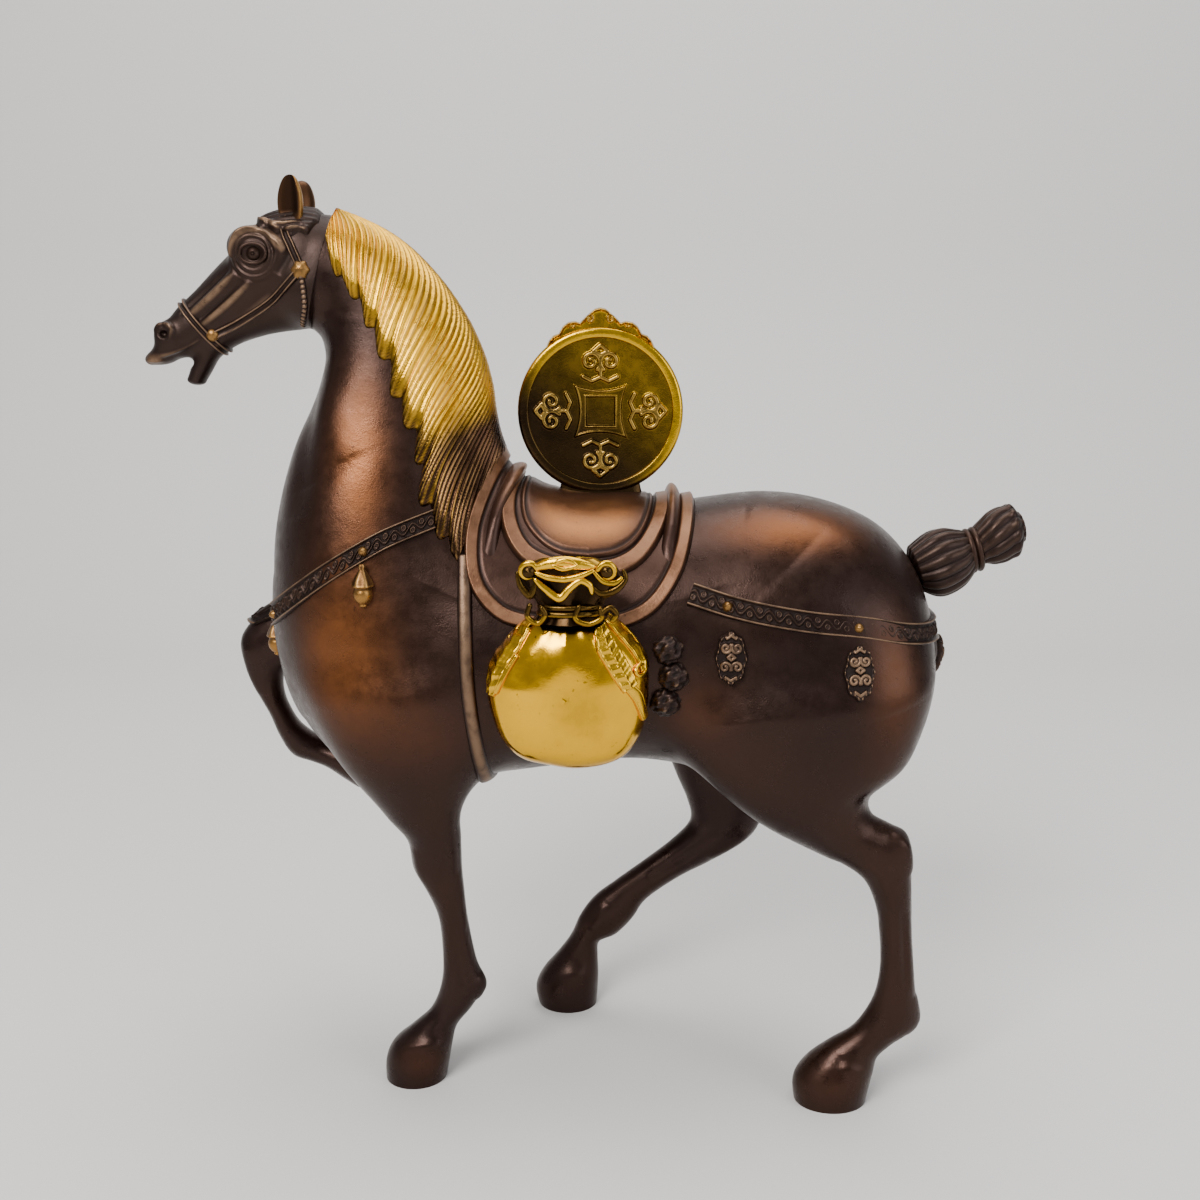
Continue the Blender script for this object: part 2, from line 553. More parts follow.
LEG_STROKES = [
    ([(-50.5, -25, 74), (-50, -25.2, 66), (-47, -23.6, 58)], 2.2, 0.7),
    ([(-37.5, -22, 66), (-36.4, -21, 58), (-35.6, -20.6, 48)], 1.5, 0.5),
    ([(-39.6, -22.2, 52), (-38.6, -21.6, 40), (-37.4, -21.6, 31)], 1.3, -0.7),
    ([(-33.0, -19, 33), (-31.6, -18, 29), (-33.4, -18.4, 25)], 2.0, 0.8),
    ([(-57, -23.4, 12.6), (-50, -24.4, 13), (-42, -22.6, 12.4)], 1.3, 0.5),
    ([(84.5, -34, 82), (88, -33, 78), (89.6, -31, 70)], 2.2, 0.9),
    ([(78, -34.6, 74), (82, -34.8, 68), (84, -34.4, 60)], 2.0, 0.6),
    ([(87.4, -34.2, 60), (88.6, -33.8, 48), (89.2, -33.8, 36)], 1.3, -0.7),
    ([(92.6, -31, 33), (94.2, -30, 27), (90.6, -30, 21)], 2.2, 0.8),
    ([(64, -36, 13.4), (71, -37.6, 13.6), (81, -36, 11)], 1.3, 0.5),
    ([(72, -35.4, 16), (69, -36.4, 8), (68, -37.8, 2)], 1.6, -0.5),
    ([(41, 21.4, 62), (30, 22.6, 53), (18, 23.2, 44.6)], 1.4, -0.7),
    ([(50, 22, 62), (47, 22, 57), (38, 23, 52)], 2.2, 0.8),
    ([(4, 23.4, 36), (3, 23.0, 31), (0, 23.4, 27)], 2.0, 0.6),
    ([(-14, 20.6, 13), (-8, 19.8, 13.4), (1, 20.6, 12.4)], 1.3, 0.5),
    ([(-106, 15, 124), (-107, 16, 118), (-103, 17, 108)], 1.8, 0.6),
]


def mirror(path):
    """The same path on the other side of the mid-plane."""
    return [(x, -y, z) for x, y, z in path]


def shaped(p, n, strokes, both=True):
    """Points moved along their normals by every stroke, and by its mirror image if asked."""
    h = np.zeros(len(p))
    for path, radius, height in strokes:
        h = h + stroke(p, path, radius, height)
        if both:
            h = h + stroke(p, mirror(path), radius, height)
    return p + n * h[:, None]


def vertex_normals(p, faces):
    """Mean of the face normals round each point, by area."""
    n = np.zeros_like(p)
    tri = np.array([(q[0], q[k], q[k + 1]) for q in faces for k in range(1, len(q) - 1)])
    fn = np.cross(p[tri[:, 1]] - p[tri[:, 0]], p[tri[:, 2]] - p[tri[:, 0]])
    for k in range(3):
        np.add.at(n, tri[:, k], fn)
    return n / (np.linalg.norm(n, axis=1, keepdims=True) + 1e-12)


# ---- materials -----------------------------------------------------------------------------------
def surface(name, dark, mid, light, metal, rough, grain=60.0, bump=0.12, worn=None, scale=9.0):
    """A cast metal finish: three colours mixed by cloudy noise and by the piece's own values.

    The value "relief" is 0 in hollows and 1 on ridges; "glow" brings in the light colour.
    """
    mat = bpy.data.materials.new(name + "_finish")
    mat["slot"] = name
    mat.use_nodes = True
    nt = mat.node_tree
    nodes, link = nt.nodes, nt.links.new
    bsdf = nodes["Principled BSDF"]
    coord = nodes.new("ShaderNodeTexCoord")

    def noise(size, detail, rough_):
        """Cloudy noise on the object's own coordinates."""
        n = nodes.new("ShaderNodeTexNoise")
        n.inputs["Scale"].default_value = size
        n.inputs["Detail"].default_value = detail
        n.inputs["Roughness"].default_value = rough_
        link(coord.outputs["Object"], n.inputs["Vector"])
        return n.outputs["Fac"]

    def ranged(value, low, high, to_low=0.0, to_high=1.0):
        """A value eased from one range to another."""
        n = nodes.new("ShaderNodeMapRange")
        n.interpolation_type = "SMOOTHSTEP"
        link(value, n.inputs["Value"])
        for key, v in zip(("From Min", "From Max", "To Min", "To Max"), (low, high, to_low, to_high)):
            n.inputs[key].default_value = v
        return n.outputs["Result"]

    def mixed(fac, a, b):
        """Two colours mixed by a share."""
        n = nodes.new("ShaderNodeMix")
        n.data_type = "RGBA"
        for sock, v in ((n.inputs[0], fac), (n.inputs[6], a), (n.inputs[7], b)):
            if isinstance(v, (tuple, list)):
                sock.default_value = (*v, 1)
            elif isinstance(v, float):
                sock.default_value = v
            else:
                link(v, sock)
        return n.outputs[2]

    def maths(op, a, b):
        """Two values added or multiplied."""
        n = nodes.new("ShaderNodeMath")
        n.operation = op
        for sock, v in zip(n.inputs, (a, b)):
            if isinstance(v, (int, float)):
                sock.default_value = v
            else:
                link(v, sock)
        return n.outputs[0]

    def value(key):
        """One of the piece's own values at each point."""
        n = nodes.new("ShaderNodeAttribute")
        n.attribute_name = key
        return n.outputs["Fac"]

    cloud = ranged(noise(scale * 2.4, 2.0, 0.5), 0.3, 0.7)
    mottle = noise(scale * 22, 4.0, 0.65)
    glow = maths("MULTIPLY", value("glow"), ranged(mottle, 0.25, 0.75, 0.82, 1.06))
    colour = mixed(maths("MULTIPLY", cloud, 0.45), dark, mid)
    colour = mixed(ranged(glow, 0.0, 1.0), colour, light)
    relief = value("relief")
    colour = mixed(ranged(relief, 0.0, 0.5, 0.85, 0.0), colour, tuple(c * 0.3 for c in dark))
    if worn:
        edge = maths("MULTIPLY", ranged(relief, 0.62, 0.95), ranged(mottle, 0.3, 0.6, 0.35, 1.0))
        colour = mixed(edge, colour, worn)
    speck = ranged(noise(900.0, 2.0, 0.5), 0.68, 0.76, 0.0, 0.5)
    colour = mixed(speck, colour, tuple(c * 0.35 for c in dark))
    link(colour, bsdf.inputs["Base Color"])
    bsdf.inputs["Metallic"].default_value = metal
    link(maths("ADD", ranged(mottle, 0.25, 0.75, rough - 0.06, rough + 0.1),
               ranged(relief, 0.0, 0.5, 0.18, 0.0)), bsdf.inputs["Roughness"])
    b1 = nodes.new("ShaderNodeBump")
    b1.inputs["Strength"].default_value = bump
    b1.inputs["Distance"].default_value = 0.0006
    link(noise(grain * 5, 4.0, 0.6), b1.inputs["Height"])
    b2 = nodes.new("ShaderNodeBump")
    b2.inputs["Strength"].default_value = bump
    b2.inputs["Distance"].default_value = 0.0002
    link(noise(grain * 40, 2.0, 0.5), b2.inputs["Height"])
    link(b1.outputs["Normal"], b2.inputs["Normal"])
    link(b2.outputs["Normal"], bsdf.inputs["Normal"])
    return mat


BRONZE = surface("bronze", (0.021, 0.009, 0.0065), (0.042, 0.017, 0.0095), (0.21, 0.066, 0.014), 0.72, 0.3)
DARK = surface("dark_bronze", (0.021, 0.0105, 0.008), (0.04, 0.019, 0.012), (0.13, 0.057, 0.026), 0.72, 0.38,
               worn=(0.2, 0.12, 0.07))
SADDLE = surface("saddle_bronze", (0.034, 0.016, 0.012), (0.058, 0.026, 0.017), (0.34, 0.13, 0.035),
                 0.72, 0.35, worn=(0.24, 0.12, 0.065))
BRASS = surface("worn_brass", (0.06, 0.026, 0.012), (0.13, 0.06, 0.02), (0.36, 0.18, 0.045), 0.9, 0.33,
                worn=(0.4, 0.22, 0.07))
GOLD = surface("gilt_bag", (0.04, 0.022, 0.01), (0.09, 0.045, 0.012), (0.80, 0.43, 0.008),
               1.0, 0.13, bump=0.05)
GILT = surface("aged_gilt", (0.035, 0.02, 0.01), (0.07, 0.036, 0.012), (0.78, 0.44, 0.02), 1.0, 0.2)
MANE = surface("gilt_mane", (0.04, 0.02, 0.012), (0.07, 0.034, 0.017), (0.72, 0.39, 0.018), 1.0, 0.26,
               worn=(0.36, 0.2, 0.08))
COIN = surface("gilt_coin", (0.035, 0.02, 0.01), (0.065, 0.037, 0.011), (0.62, 0.36, 0.012), 1.0, 0.2,
               worn=(0.36, 0.22, 0.05))


def placed(made, mat, *nodes):
    """Gives a finished piece its material, slot, body and the nodes it stands for."""
    made.data.materials.append(mat)
    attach(made, "root")
    if nodes:
        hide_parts(*nodes)
    return made


def body_glow(p):
    """Where the patina is rubbed to warm brown: chest, shoulder, croup, cheek, hocks and knees."""
    ay = np.stack([p[:, 0], np.abs(p[:, 1]), p[:, 2]], 1)
    g = 0.62 * gauss(ay, (-62, 24, 184), (9, 16, 26)) + 0.7 * gauss(ay, (-66, 30, 134), (15, 16, 22))
    g += 0.6 * gauss(ay, (58, 24, 166), (24, 22, 7)) + 0.38 * gauss(ay, (82, 30, 124), (10, 16, 22))
    g += 0.22 * gauss(ay, (-46, 34, 112), (16, 14, 14)) + 0.22 * gauss(ay, (30, 36, 118), (12, 10, 12))
    g += 0.25 * gauss(ay, (-50, 20, 8), (8, 12, 6)) + 0.25 * gauss(ay, (70, 30, 8), (9, 12, 6))
    return np.clip(g, 0, 1)


# ---- flesh pieces --------------------------------------------------------------------------------
def joint_of(rows, k):
    """Middle of a station line and the direction from it to the next station."""
    r, q = np.array(rows[k][:4], float), np.array(rows[k + 1][:4], float)
    n = np.array([-(r[1] - r[3]), r[0] - r[2]])
    c, c2 = (r[:2] + r[2:]) / 2, (q[:2] + q[2:]) / 2
    return c, n if n @ (c2 - c) > 0 else -n


def flesh():
    """The horse's shell at the field's zero level, stroked, then parted at the joint planes."""
    p, quads = horse.shell()
    quads = outward(p, quads)
    n = horse.slope(p)
    p = shaped(p, n, BODY_STROKES)
    p = shaped(p, n, LEG_STROKES, both=False)
    p[:, 2] = np.maximum(p[:, 2], 0.0)
    boxes = {
        "fore_left_leg": lambda c: (c[:, 1] < -2) & (c[:, 2] < 92) & (c[:, 0] > -75) & (c[:, 0] < -20),
        "fore_right_leg": lambda c: (c[:, 1] > 9) & (c[:, 0] < -62) & (c[:, 2] < 139) & (c[:, 2] > 70),
        "hind_left_leg": lambda c: (c[:, 1] < -8) & (c[:, 2] < 100) & (c[:, 0] > 40),
        "hind_right_leg": lambda c: (c[:, 1] > 8) & (c[:, 2] < 90) & (c[:, 0] > -25),
    }
    rules = [(name, *joint_of(LEGS[name], JOINTS[name]), boxes[name]) for name in LEGS]
    front = lambda c: (c[:, 2] > 120) & (c[:, 0] < -20) & ~((c[:, 1] > 9) & (c[:, 0] < -86) & (c[:, 2] < 142))
    rules.append(("neck", *joint_of(TRUNK, 13), front))
    poll = lambda c: (c[:, 2] > 198) & (c[:, 0] < -60)
    rules.append(("waste", np.array([-74.2, 234.8]), np.array([-1.0, 0.25]), poll))
    for name, (q, faces) in parted(p, quads, rules).items():
        if name == "waste":
            continue
        nodes = {"rest": ("trunk",), "neck": ("neck", "neck_spigot")}.get(name, (name,))
        label = {"rest": "trunk_skin", "neck": "neck_skin"}.get(name, name + "_skin")
        q2, f2 = capped(q, faces)
        relief = np.full(len(q2), 0.55)
        normals = vertex_normals(q2, f2[: len(faces)])
        placed(mesh_object(label, q2, f2, normals, relief=relief, glow=body_glow(q2)), BRONZE, *nodes)


flesh()

HEAD_STROKES = [
    ([(-97.5, -8.4, 238.5), (-95, -9.6, 244.4), (-90, -10.2, 246.2), (-85, -10.6, 243.0), (-82, -11, 239.4)],
     1.25, 1.9),
    ([(-96.5, -8.0, 234.5), (-104, -6.6, 228.2), (-111, -5.6, 222.8)], 1.3, 1.0),
    ([(-92, -9.6, 232), (-100, -7.8, 225.6), (-107.5, -6.2, 220.2)], 1.1, 1.0),
    ([(-86, -10.6, 229), (-93, -9.2, 224), (-99, -7.8, 220.2)], 1.5, 0.7),
    ([(-97, -7.2, 236.4), (-106, -5.6, 229.4), (-113.6, -4.6, 223)], 0.8, -0.55),
    ([(-94, -9, 232.4), (-102, -7.2, 226.2), (-109, -6, 221)], 0.7, -0.6),
    ([(-121, -3.6, 218.6), (-118.6, -5.2, 221), (-115.8, -5.6, 219.4), (-116.6, -5.8, 216.2)], 0.7, 0.9),
    ([(-123.4, -2.6, 211.6), (-118, -4.8, 212.4), (-112, -5.2, 214.4), (-107.6, -5.6, 217)], 0.6, 0.7),
    ([(-124, 0, 210.6), (-123, -3.2, 210.8), (-119, -4.2, 210.4)], 0.8, 0.5),
    ([(-84.6, -11, 234), (-82, -11.4, 237.6), (-80, -11.4, 241)], 1.2, -0.7),
    ([(-68.6, -11, 238), (-68.4, -12, 230), (-72.5, -12, 222.5)], 1.1, -0.9),
    ([(-106, -4.4, 214), (-98, -6, 216.2), (-88, -7.4, 219)], 1.2, 0.6),
]


def head_piece():
    """The skull block's shell; rings round the eyes are a decaying cosine of the distance to the eye."""
    p, quads = skull.shell()
    quads = outward(p, quads)
    n = skull.slope(p, 0.6)
    q = shaped(p, n, HEAD_STROKES)
    r = np.hypot(p[:, 0] - EYE_X, p[:, 2] - EYE_Z)
    side = (np.abs(p[:, 1]) > 6) & (r < 8)
    ring = np.where(side, 0.24 * np.cos((r - 4.6) * 2 * PI / 1.7) * bell(r, 5.0, 1.9), 0)
    q = q + n * ring[:, None]
    every = lambda c: c[:, 0] < 0
    under = lambda c: (c[:, 2] < 215.5) & (c[:, 0] > -92)
    out = parted(q, quads, [("gone", np.array([-73.6, 234.8]), np.array([1.0, -0.25]), every),
                            ("low", np.array([-92.0, 208.0]), np.array([1.0, 0.0]), under)])["rest"]
    full, faces = capped(*out)
    level = skull(full)
    relief = np.clip(0.52 + 0.45 * np.clip(level, -1, 1), 0, 1)
    gold = gauss(full, (-92, 0, 247), (6, 30, 2.2)) + gauss(full, (-122, 0, 211), (4, 9, 2.2))
    relief = np.clip(relief + 0.3 * gold, 0, 1)
    glow = np.clip(0.35 * gold, 0, 1)
    placed(mesh_object("head_skin", full, faces, relief=relief, glow=glow), DARK, "head", "lower_jaw")


head_piece()


# ---- relief drawn on flat places -----------------------------------------------------------------
def line_distance(u, v, paths):
    """Least distance of flat points (u, v) to any of several open lines."""
    best = np.full(np.shape(u), 1e9)
    for path in paths:
        q = np.asarray(path, float)
        for a, b in zip(q[:-1], q[1:]):
            d = b - a
            t = np.clip(((u - a[0]) * d[0] + (v - a[1]) * d[1]) / (d @ d + 1e-9), 0, 1)
            best = np.minimum(best, np.hypot(u - a[0] - t * d[0], v - a[1] - t * d[1]))
    return best


def spiral(cx, cy, start, end, turns, first, hand=1):
    """A flat spiral whose radius shrinks evenly with its angle."""
    t = np.linspace(0, 1, 26)
    a = first + hand * turns * 2 * PI * t
    r = start + (end - start) * t
    return np.stack([cx + r * np.cos(a), cy + r * np.sin(a)], 1)


def ridge_of(d, half):
    """Rounded bead profile of a line: one on the line, zero past its half width."""
    return np.sqrt(np.clip(1 - (d / half) ** 2, 0, 1))


def soft(x, width):
    """Smooth step from 0 to 1 about x = 0."""
    t = np.clip(x / width + 0.5, 0, 1)
    return t * t * (3 - 2 * t)


# ---- laying things on the hide -------------------------------------------------------------------
def shoot(block, start, direction, reach):
    """First place along each ray, from inside outwards, where the field turns positive: by halving."""
    low, high = np.zeros(start.shape[:-1]), np.full(start.shape[:-1], float(reach))
    for _ in range(22):
        mid = (low + high) / 2
        inside = block(start + direction * mid[..., None]) < 0
        low, high = np.where(inside, mid, low), np.where(inside, high, mid)
    return start + direction * low[..., None]


def side_points(block, x, z, sign):
    """Points of the hide seen straight from one side at given places of the side view."""
    x, z = np.broadcast_arrays(np.asarray(x, float), np.asarray(z, float))
    start = np.stack([x, np.zeros_like(x), z], -1)
    return shoot(block, start, np.array([0.0, float(sign), 0.0]), 50)


def line_value(line, q, across=0):
    """Height of a smooth side line at given abscissae, from its sorted points."""
    c = curve_through(line, 8)
    order = np.argsort(c[:, across])
    return np.interp(q, c[order, across], c[order, 1 - across])


def ring_points(block, centre, first, line, phis, vs, reach=70):
    """Grid of hide points on a curved sheet seen edge-on as a side line.

    Rays leave the centre at angle phi from the direction first towards -Y; their other side-view
    coordinate follows the line, shifted square to it by v.
    """
    flat = abs(first[0]) > 0
    e1 = np.array([first[0], 0, first[1]], float)
    phi, v = np.meshgrid(phis, vs, indexing="ij")
    c = np.array([centre[0], 0, centre[1]], float)
    low, high = np.zeros(phi.shape), np.full(phi.shape, float(reach))

    def at(r):
        """Places at a distance along each ray, slid onto the side line."""
        p = c + (np.cos(phi) * r)[..., None] * e1 + (-np.sin(phi) * r)[..., None] * np.array([0, 1.0, 0])
        q = p[..., 0] if flat else p[..., 2]
        g = line_value(line, q, 0 if flat else 1)
        slope = (line_value(line, q + 0.5, 0 if flat else 1) - g) / 0.5
        p[..., 2 if flat else 0] = g + v * np.sqrt(1 + slope**2)
        return p

    for _ in range(22):
        mid = (low + high) / 2
        inside = block(at(mid)) < 0
        low, high = np.where(inside, mid, low), np.where(inside, high, mid)
    return at(low)


def along_of(p):
    """Length run along the middle row of a grid, from its first place."""
    m = p[:, p.shape[1] // 2]
    return np.concatenate([[0], np.cumsum(np.linalg.norm(np.diff(m, axis=0), axis=1))])


def band(name, mat, nodes, block, p, height, relief, sink=1.2, glow=None, wrap=False):
    """A layer on the hide: height along the hide's own normals, hollows and ridges by relief."""
    n = block.slope(p, 1.0)
    pts, faces = slab(p, n, height, sink, wrap)
    k = p.shape[0] * p.shape[1]
    values = np.concatenate([np.broadcast_to(relief, height.shape).ravel(), np.full(k, 0.3)])
    shine = np.zeros(height.shape) if glow is None else np.broadcast_to(glow, height.shape)
    shine = np.concatenate([shine.ravel(), np.zeros(k)])
    placed(mesh_object(name, pts, faces, relief=values, glow=shine), mat, *nodes)


FINE = 1.0


def count(n):
    return int(n * FINE) | 1


def scroll_band(name, nodes, block, centre, first, line, phi_max, half, thick):
    """A strap: two raised edges, and between them a vine of one wave with a curl in every half wave."""
    phis = np.linspace(-phi_max, phi_max, count(900))
    v = np.linspace(-1, 1, count(27))
    p = ring_points(block, centre, first, line, phis, v * half)
    s = along_of(p)[:, None]
    vv = v[None, :]
    edge = bell(np.abs(vv), 0.84, 0.13)
    wave = 5.2
    vine = bell(vv, 0.36 * np.sin(2 * PI * s / wave), 0.13)
    k = np.round(s / (wave / 2) - 0.5)
    cs, cv = (k + 0.5) * wave / 2, -0.24 * np.sin(2 * PI * (k + 0.5) / 2)
    r = np.hypot((s - cs), (vv - cv) * half)
    curl = bell(r, 0.62, 0.22) + 0.9 * bell(r, 0, 0.26)
    ornament = np.clip(np.maximum(vine * 0.9, curl), 0, 1)
    shape = np.maximum(edge, 0.8 * ornament)
    taper = np.clip((1 - np.abs(vv)) / 0.1, 0, 1) ** 0.5
    height = taper * (thick * 0.45 + thick * 0.75 * shape)
    relief = np.clip(0.12 + 0.85 * shape, 0, 1)
    band(name, DARK, nodes, block, p, height, relief, glow=0.1 + 0 * height)


BREAST = [(-96, 133), (-88, 141.3), (-73, 153), (-60, 161.2), (-50, 166), (-30, 173)]
CRUPPER = [(15, 152.6), (26, 149.8), (40, 145.9), (58, 142.6), (74, 140.6), (88, 137.8), (106, 136)]
scroll_band("breast_strap_scrolls", ["breast_strap"], horse, (-55, 150), (-1, 0), BREAST, 2.05, 2.7, 1.3)
scroll_band("crupper_strap_scrolls", ["crupper_strap"], horse, (55, 145), (1, 0), CRUPPER, 2.3, 3.0, 1.3)


def plain_band(name, nodes, block, centre, first, line, phis, half, thick, twin=True):
    """A strap round a limb of the body: two parallel ridges, or one rounded roll."""
    v = np.linspace(-1, 1, count(21))
    p = ring_points(block, centre, first, line, phis, v * half)
    vv = v[None, :]
    ridge = bell(np.abs(vv), 0.62, 0.26) if twin else np.sqrt(np.clip(1 - vv**2, 0, 1))
    height = thick * (0.25 + 0.85 * ridge) * np.clip((1 - np.abs(vv)) / 0.1, 0, 1) ** 0.5 + 0 * p[..., 0]
    relief = np.clip(0.2 + 0.7 * ridge, 0, 1) + 0 * height
    band(name, DARK, nodes, block, p, height, relief, sink=0.8, glow=0.1 + 0 * height)


GIRTH = [(-28, 80), (-30.6, 105), (-32.4, 123), (-33.2, 140), (-33.6, 160)]
girth_turn = np.linspace(0.75, 2 * PI - 0.75, count(500))
plain_band("girth_band", ["girth_strap"], horse, (-31, 130), (0, 1), GIRTH, girth_turn, 2.0, 1.3, twin=False)
CROWN = [(-77.4, 228), (-78, 235), (-80.4, 241), (-82.6, 246), (-85.5, 258)]
crown_turn = np.linspace(-1.75, 1.75, count(300))
plain_band("crown_band", ["crown_strap"], skull, (-80, 236), (0, 1), CROWN, crown_turn, 1.25, 0.8)


def nose_band():
    """Rays turned round the muzzle's own axis, in the slanted plane through nose and jaw; twin ridges."""
    round_, across = np.linspace(0, 2 * PI, count(241))[:-1], np.linspace(-1, 1, count(15))
    phi, v = np.meshgrid(round_, across, indexing="ij")
    e1 = np.array([-0.66, 0, 0.75])
    e3 = np.array([0.75, 0, 0.66])
    c = np.array([-108.6, 0, 220.6])
    start = c + (v * 1.3)[..., None] * e3
    way = np.cos(phi)[..., None] * e1 - np.sin(phi)[..., None] * np.array([0, 1.0, 0])
    p = shoot(skull, start, way, 14)
    ridge = bell(np.abs(v), 0.6, 0.28)
    height = 0.85 * (0.2 + 0.85 * ridge) * np.clip((1 - np.abs(v)) / 0.12, 0, 1) ** 0.5
    relief = np.clip(0.2 + 0.75 * ridge, 0, 1)
    band("nose_band", DARK, ["noseband"], skull, p, height, relief, sink=0.6, wrap=True)


nose_band()


def face_strips(name, node, line, half, twin):
    """On each side of the head a strip about a side line: two ridges, or one row of beads."""
    parts, values = [], []
    for sign in (-1, 1):
        c = curve_through(line, count(60))
        t = np.gradient(c, axis=0)
        t /= np.linalg.norm(t, axis=1, keepdims=True)
        v = np.linspace(-1, 1, count(15))
        q = c[:, None] + np.stack([-t[:, 1], t[:, 0]], 1)[:, None] * (v * half)[None, :, None]
        p = side_points(skull, q[..., 0], q[..., 1], sign)
        s = along_of(p)[:, None]
        if twin:
            ridge = bell(np.abs(v), 0.6, 0.28)[None] + 0 * p[..., 0]
        else:
            ridge = np.sqrt(np.clip(1 - v**2, 0, 1))[None] * (0.45 + 0.55 * np.abs(np.sin(s * PI / 1.3)))
        height = 0.8 * (0.2 + 0.85 * ridge) * (np.clip((1 - np.abs(v)) / 0.12, 0, 1) ** 0.5)[None]
        parts.append(slab(p, skull.slope(p, 0.6), height, 0.6))
        values.append(np.concatenate([np.clip(0.2 + 0.75 * ridge, 0, 1).ravel(), np.full(ridge.size, 0.3)]))
    pts, faces = merged(parts)
    placed(mesh_object(name, pts, faces, relief=np.concatenate(values), glow=np.zeros(len(pts))), DARK, node)


CHEEK = [(-104.6, 217.4), (-96, 221.6), (-86, 227.6), (-78, 235)]
THROAT = [(-78, 235), (-77.3, 230), (-77.4, 225), (-79.2, 220.6)]
face_strips("cheek_bands", "cheek_straps", CHEEK, 1.25, True)
face_strips("throat_beads", "throat_strap", THROAT, 0.85, False)


def boss(name, nodes, block, places, radius, height, lobes=0):
    """Round studs: a low dome on the hide's normal with a raised middle, petals if asked."""
    parts = []
    for x, z, sign in places:
        p = side_points(block, x, z, sign)
        n = block.slope(p, 1.0)
        u = np.linspace(0, 1, 9)
        profile = np.stack([radius * np.sin(u * PI / 2), height * np.cos(u * PI / 2) ** 1.2], 1)[::-1]
        profile = np.vstack([[radius * 0.98, -1.2], profile[:-1], [radius * 0.02, height]])
        pts, faces = turned(profile, p, n, 28)
        if lobes:
            rel = pts - p
            k = rel @ n
            flat = rel - k[:, None] * n
            e = np.cross(n, (0, 0, 1.0))
            e /= np.linalg.norm(e)
            a = np.arctan2(flat @ np.cross(n, e), flat @ e)
            pts = p + k[:, None] * n + flat * (1 + 0.09 * np.cos(lobes * a))[:, None]
        parts.append((pts, faces))
    pts, faces = merged(parts)
    relief, glow = np.full(len(pts), 0.75), np.full(len(pts), 0.45)
    placed(mesh_object(name, pts, faces, relief=relief, glow=glow), BRASS, *nodes)


for side, sign in SIDES:
    cheek, bit = [(-78, 235, sign)], [(-104.4, 217.6, sign)]
    boss(f"cheek_rosette_boss_{side}", [f"cheek_rosette_{side}"], skull, cheek, 2.5, 1.6, lobes=6)
    boss(f"bit_rosette_boss_{side}", [f"bit_rosette_{side}"], skull, bit, 1.8, 1.3)
breast_places = [(x, z, sign) for x, z in ((-88, 140.6), (-60.5, 160.8)) for sign in (-1, 1)]
crupper_places = [(x, z, sign) for x, z in ((37, 146.4), (72, 140.6)) for sign in (-1, 1)]
boss("breast_stud_domes", ["breast_studs"], horse, breast_places, 1.5, 2.4)
boss("crupper_stud_domes", ["crupper_studs"], horse, crupper_places, 1.6, 2.4)


LID_RADIUS = 3.2


def eyes():
    """An eyeball with a domed iris, one lid arched above it and one below."""
    for side, sign in SIDES:
        c = side_points(skull, EYE_X, EYE_Z, sign)
        c = c - np.array([0, sign, 0]) * 1.5
        u = np.linspace(0, PI, 26)[1:-1]
        bulge = 0.28 * bell(u, 0, 0.42)
        profile = np.stack([(2.75 + bulge) * np.sin(u), (2.75 + bulge) * np.cos(u)], 1)
        parts = [turned(profile, c, (0, sign, 0), 40)]
        for thick, start, end in ((0.55, 0.03, 1.0), (0.45, 1.05, 1.97)):
            a = np.linspace(start, end, 40) * PI
            q = c + np.stack([LID_RADIUS * 1.14 * np.cos(a), 0 * a, LID_RADIUS * 0.82 * np.sin(a)], 1)
            q[:, 1] = side_points(skull, q[:, 0], q[:, 2], sign)[:, 1] + sign * 0.3
            parts.append(sweep(q, thick, 10, facing=(0, sign, 0)))
        pts, faces = merged(parts)
        relief, glow = np.full(len(pts), 0.62), np.full(len(pts), 0.12)
        placed(mesh_object(f"eye_ball_{side}", pts, faces, relief=relief, glow=glow), DARK, f"eye_{side}")


eyes()


def ears():
    """A leaf: width swelling then closing to a tip with the sine of the height, its front scooped out."""
    for side, sign in SIDES:
        u, a = np.linspace(0, 1, 40), np.linspace(0, 2 * PI, 41)[:-1]
        line = [(-81, 5.6 * sign, 246), (-81.2, 6.6 * sign, 251), (-81, 7.4 * sign, 256),
                (-80.8, 7.8 * sign, 260.2)]
        axis = curve_through(line, 13)[: len(u)]
        w = 3.7 * (0.62 + 0.55 * np.sin(u**0.8 * PI * 0.78)) * np.sqrt(np.clip(1 - u**3.2, 0.004, 1))
        d = 0.62 * w
        face = np.array([-0.45, 0.88 * sign, 0.1])
        wide = np.array([0.88, 0.45 * sign, 0.0])
        x, y = np.cos(a)[None] * w[:, None], np.sin(a)[None] * d[:, None]
        deep = np.clip((u - 0.12) / 0.2, 0, 1)[:, None]
        scoop = np.clip(np.sin(a), 0, 1)[None] * (1 - np.cos(a)[None] ** 2) * d[:, None] * 1.35 * deep
        rings = axis[:, None] + x[..., None] * wide + (y - scoop)[..., None] * face
        pts, faces = closed_loft(rings)
        rim = np.concatenate([(np.abs(np.cos(a))[None] ** 6 + 0 * u[:, None]).ravel(), [0.5, 1]])
        hollow = np.clip(np.sin(a), 0, 1)[None] * np.clip(u[:, None] * 3, 0, 1)
        hollow = np.concatenate([hollow.ravel(), [0, 0]])
        relief = np.clip(0.52 + 0.4 * rim - 0.3 * hollow, 0.2, 1)
        relief = relief - 0.2 * hollow
        made = mesh_object(f"ear_leaf_{side}", pts, faces, relief=relief, glow=0.8 * rim**2)
        placed(made, BRASS, f"ear_{side}")


ears()


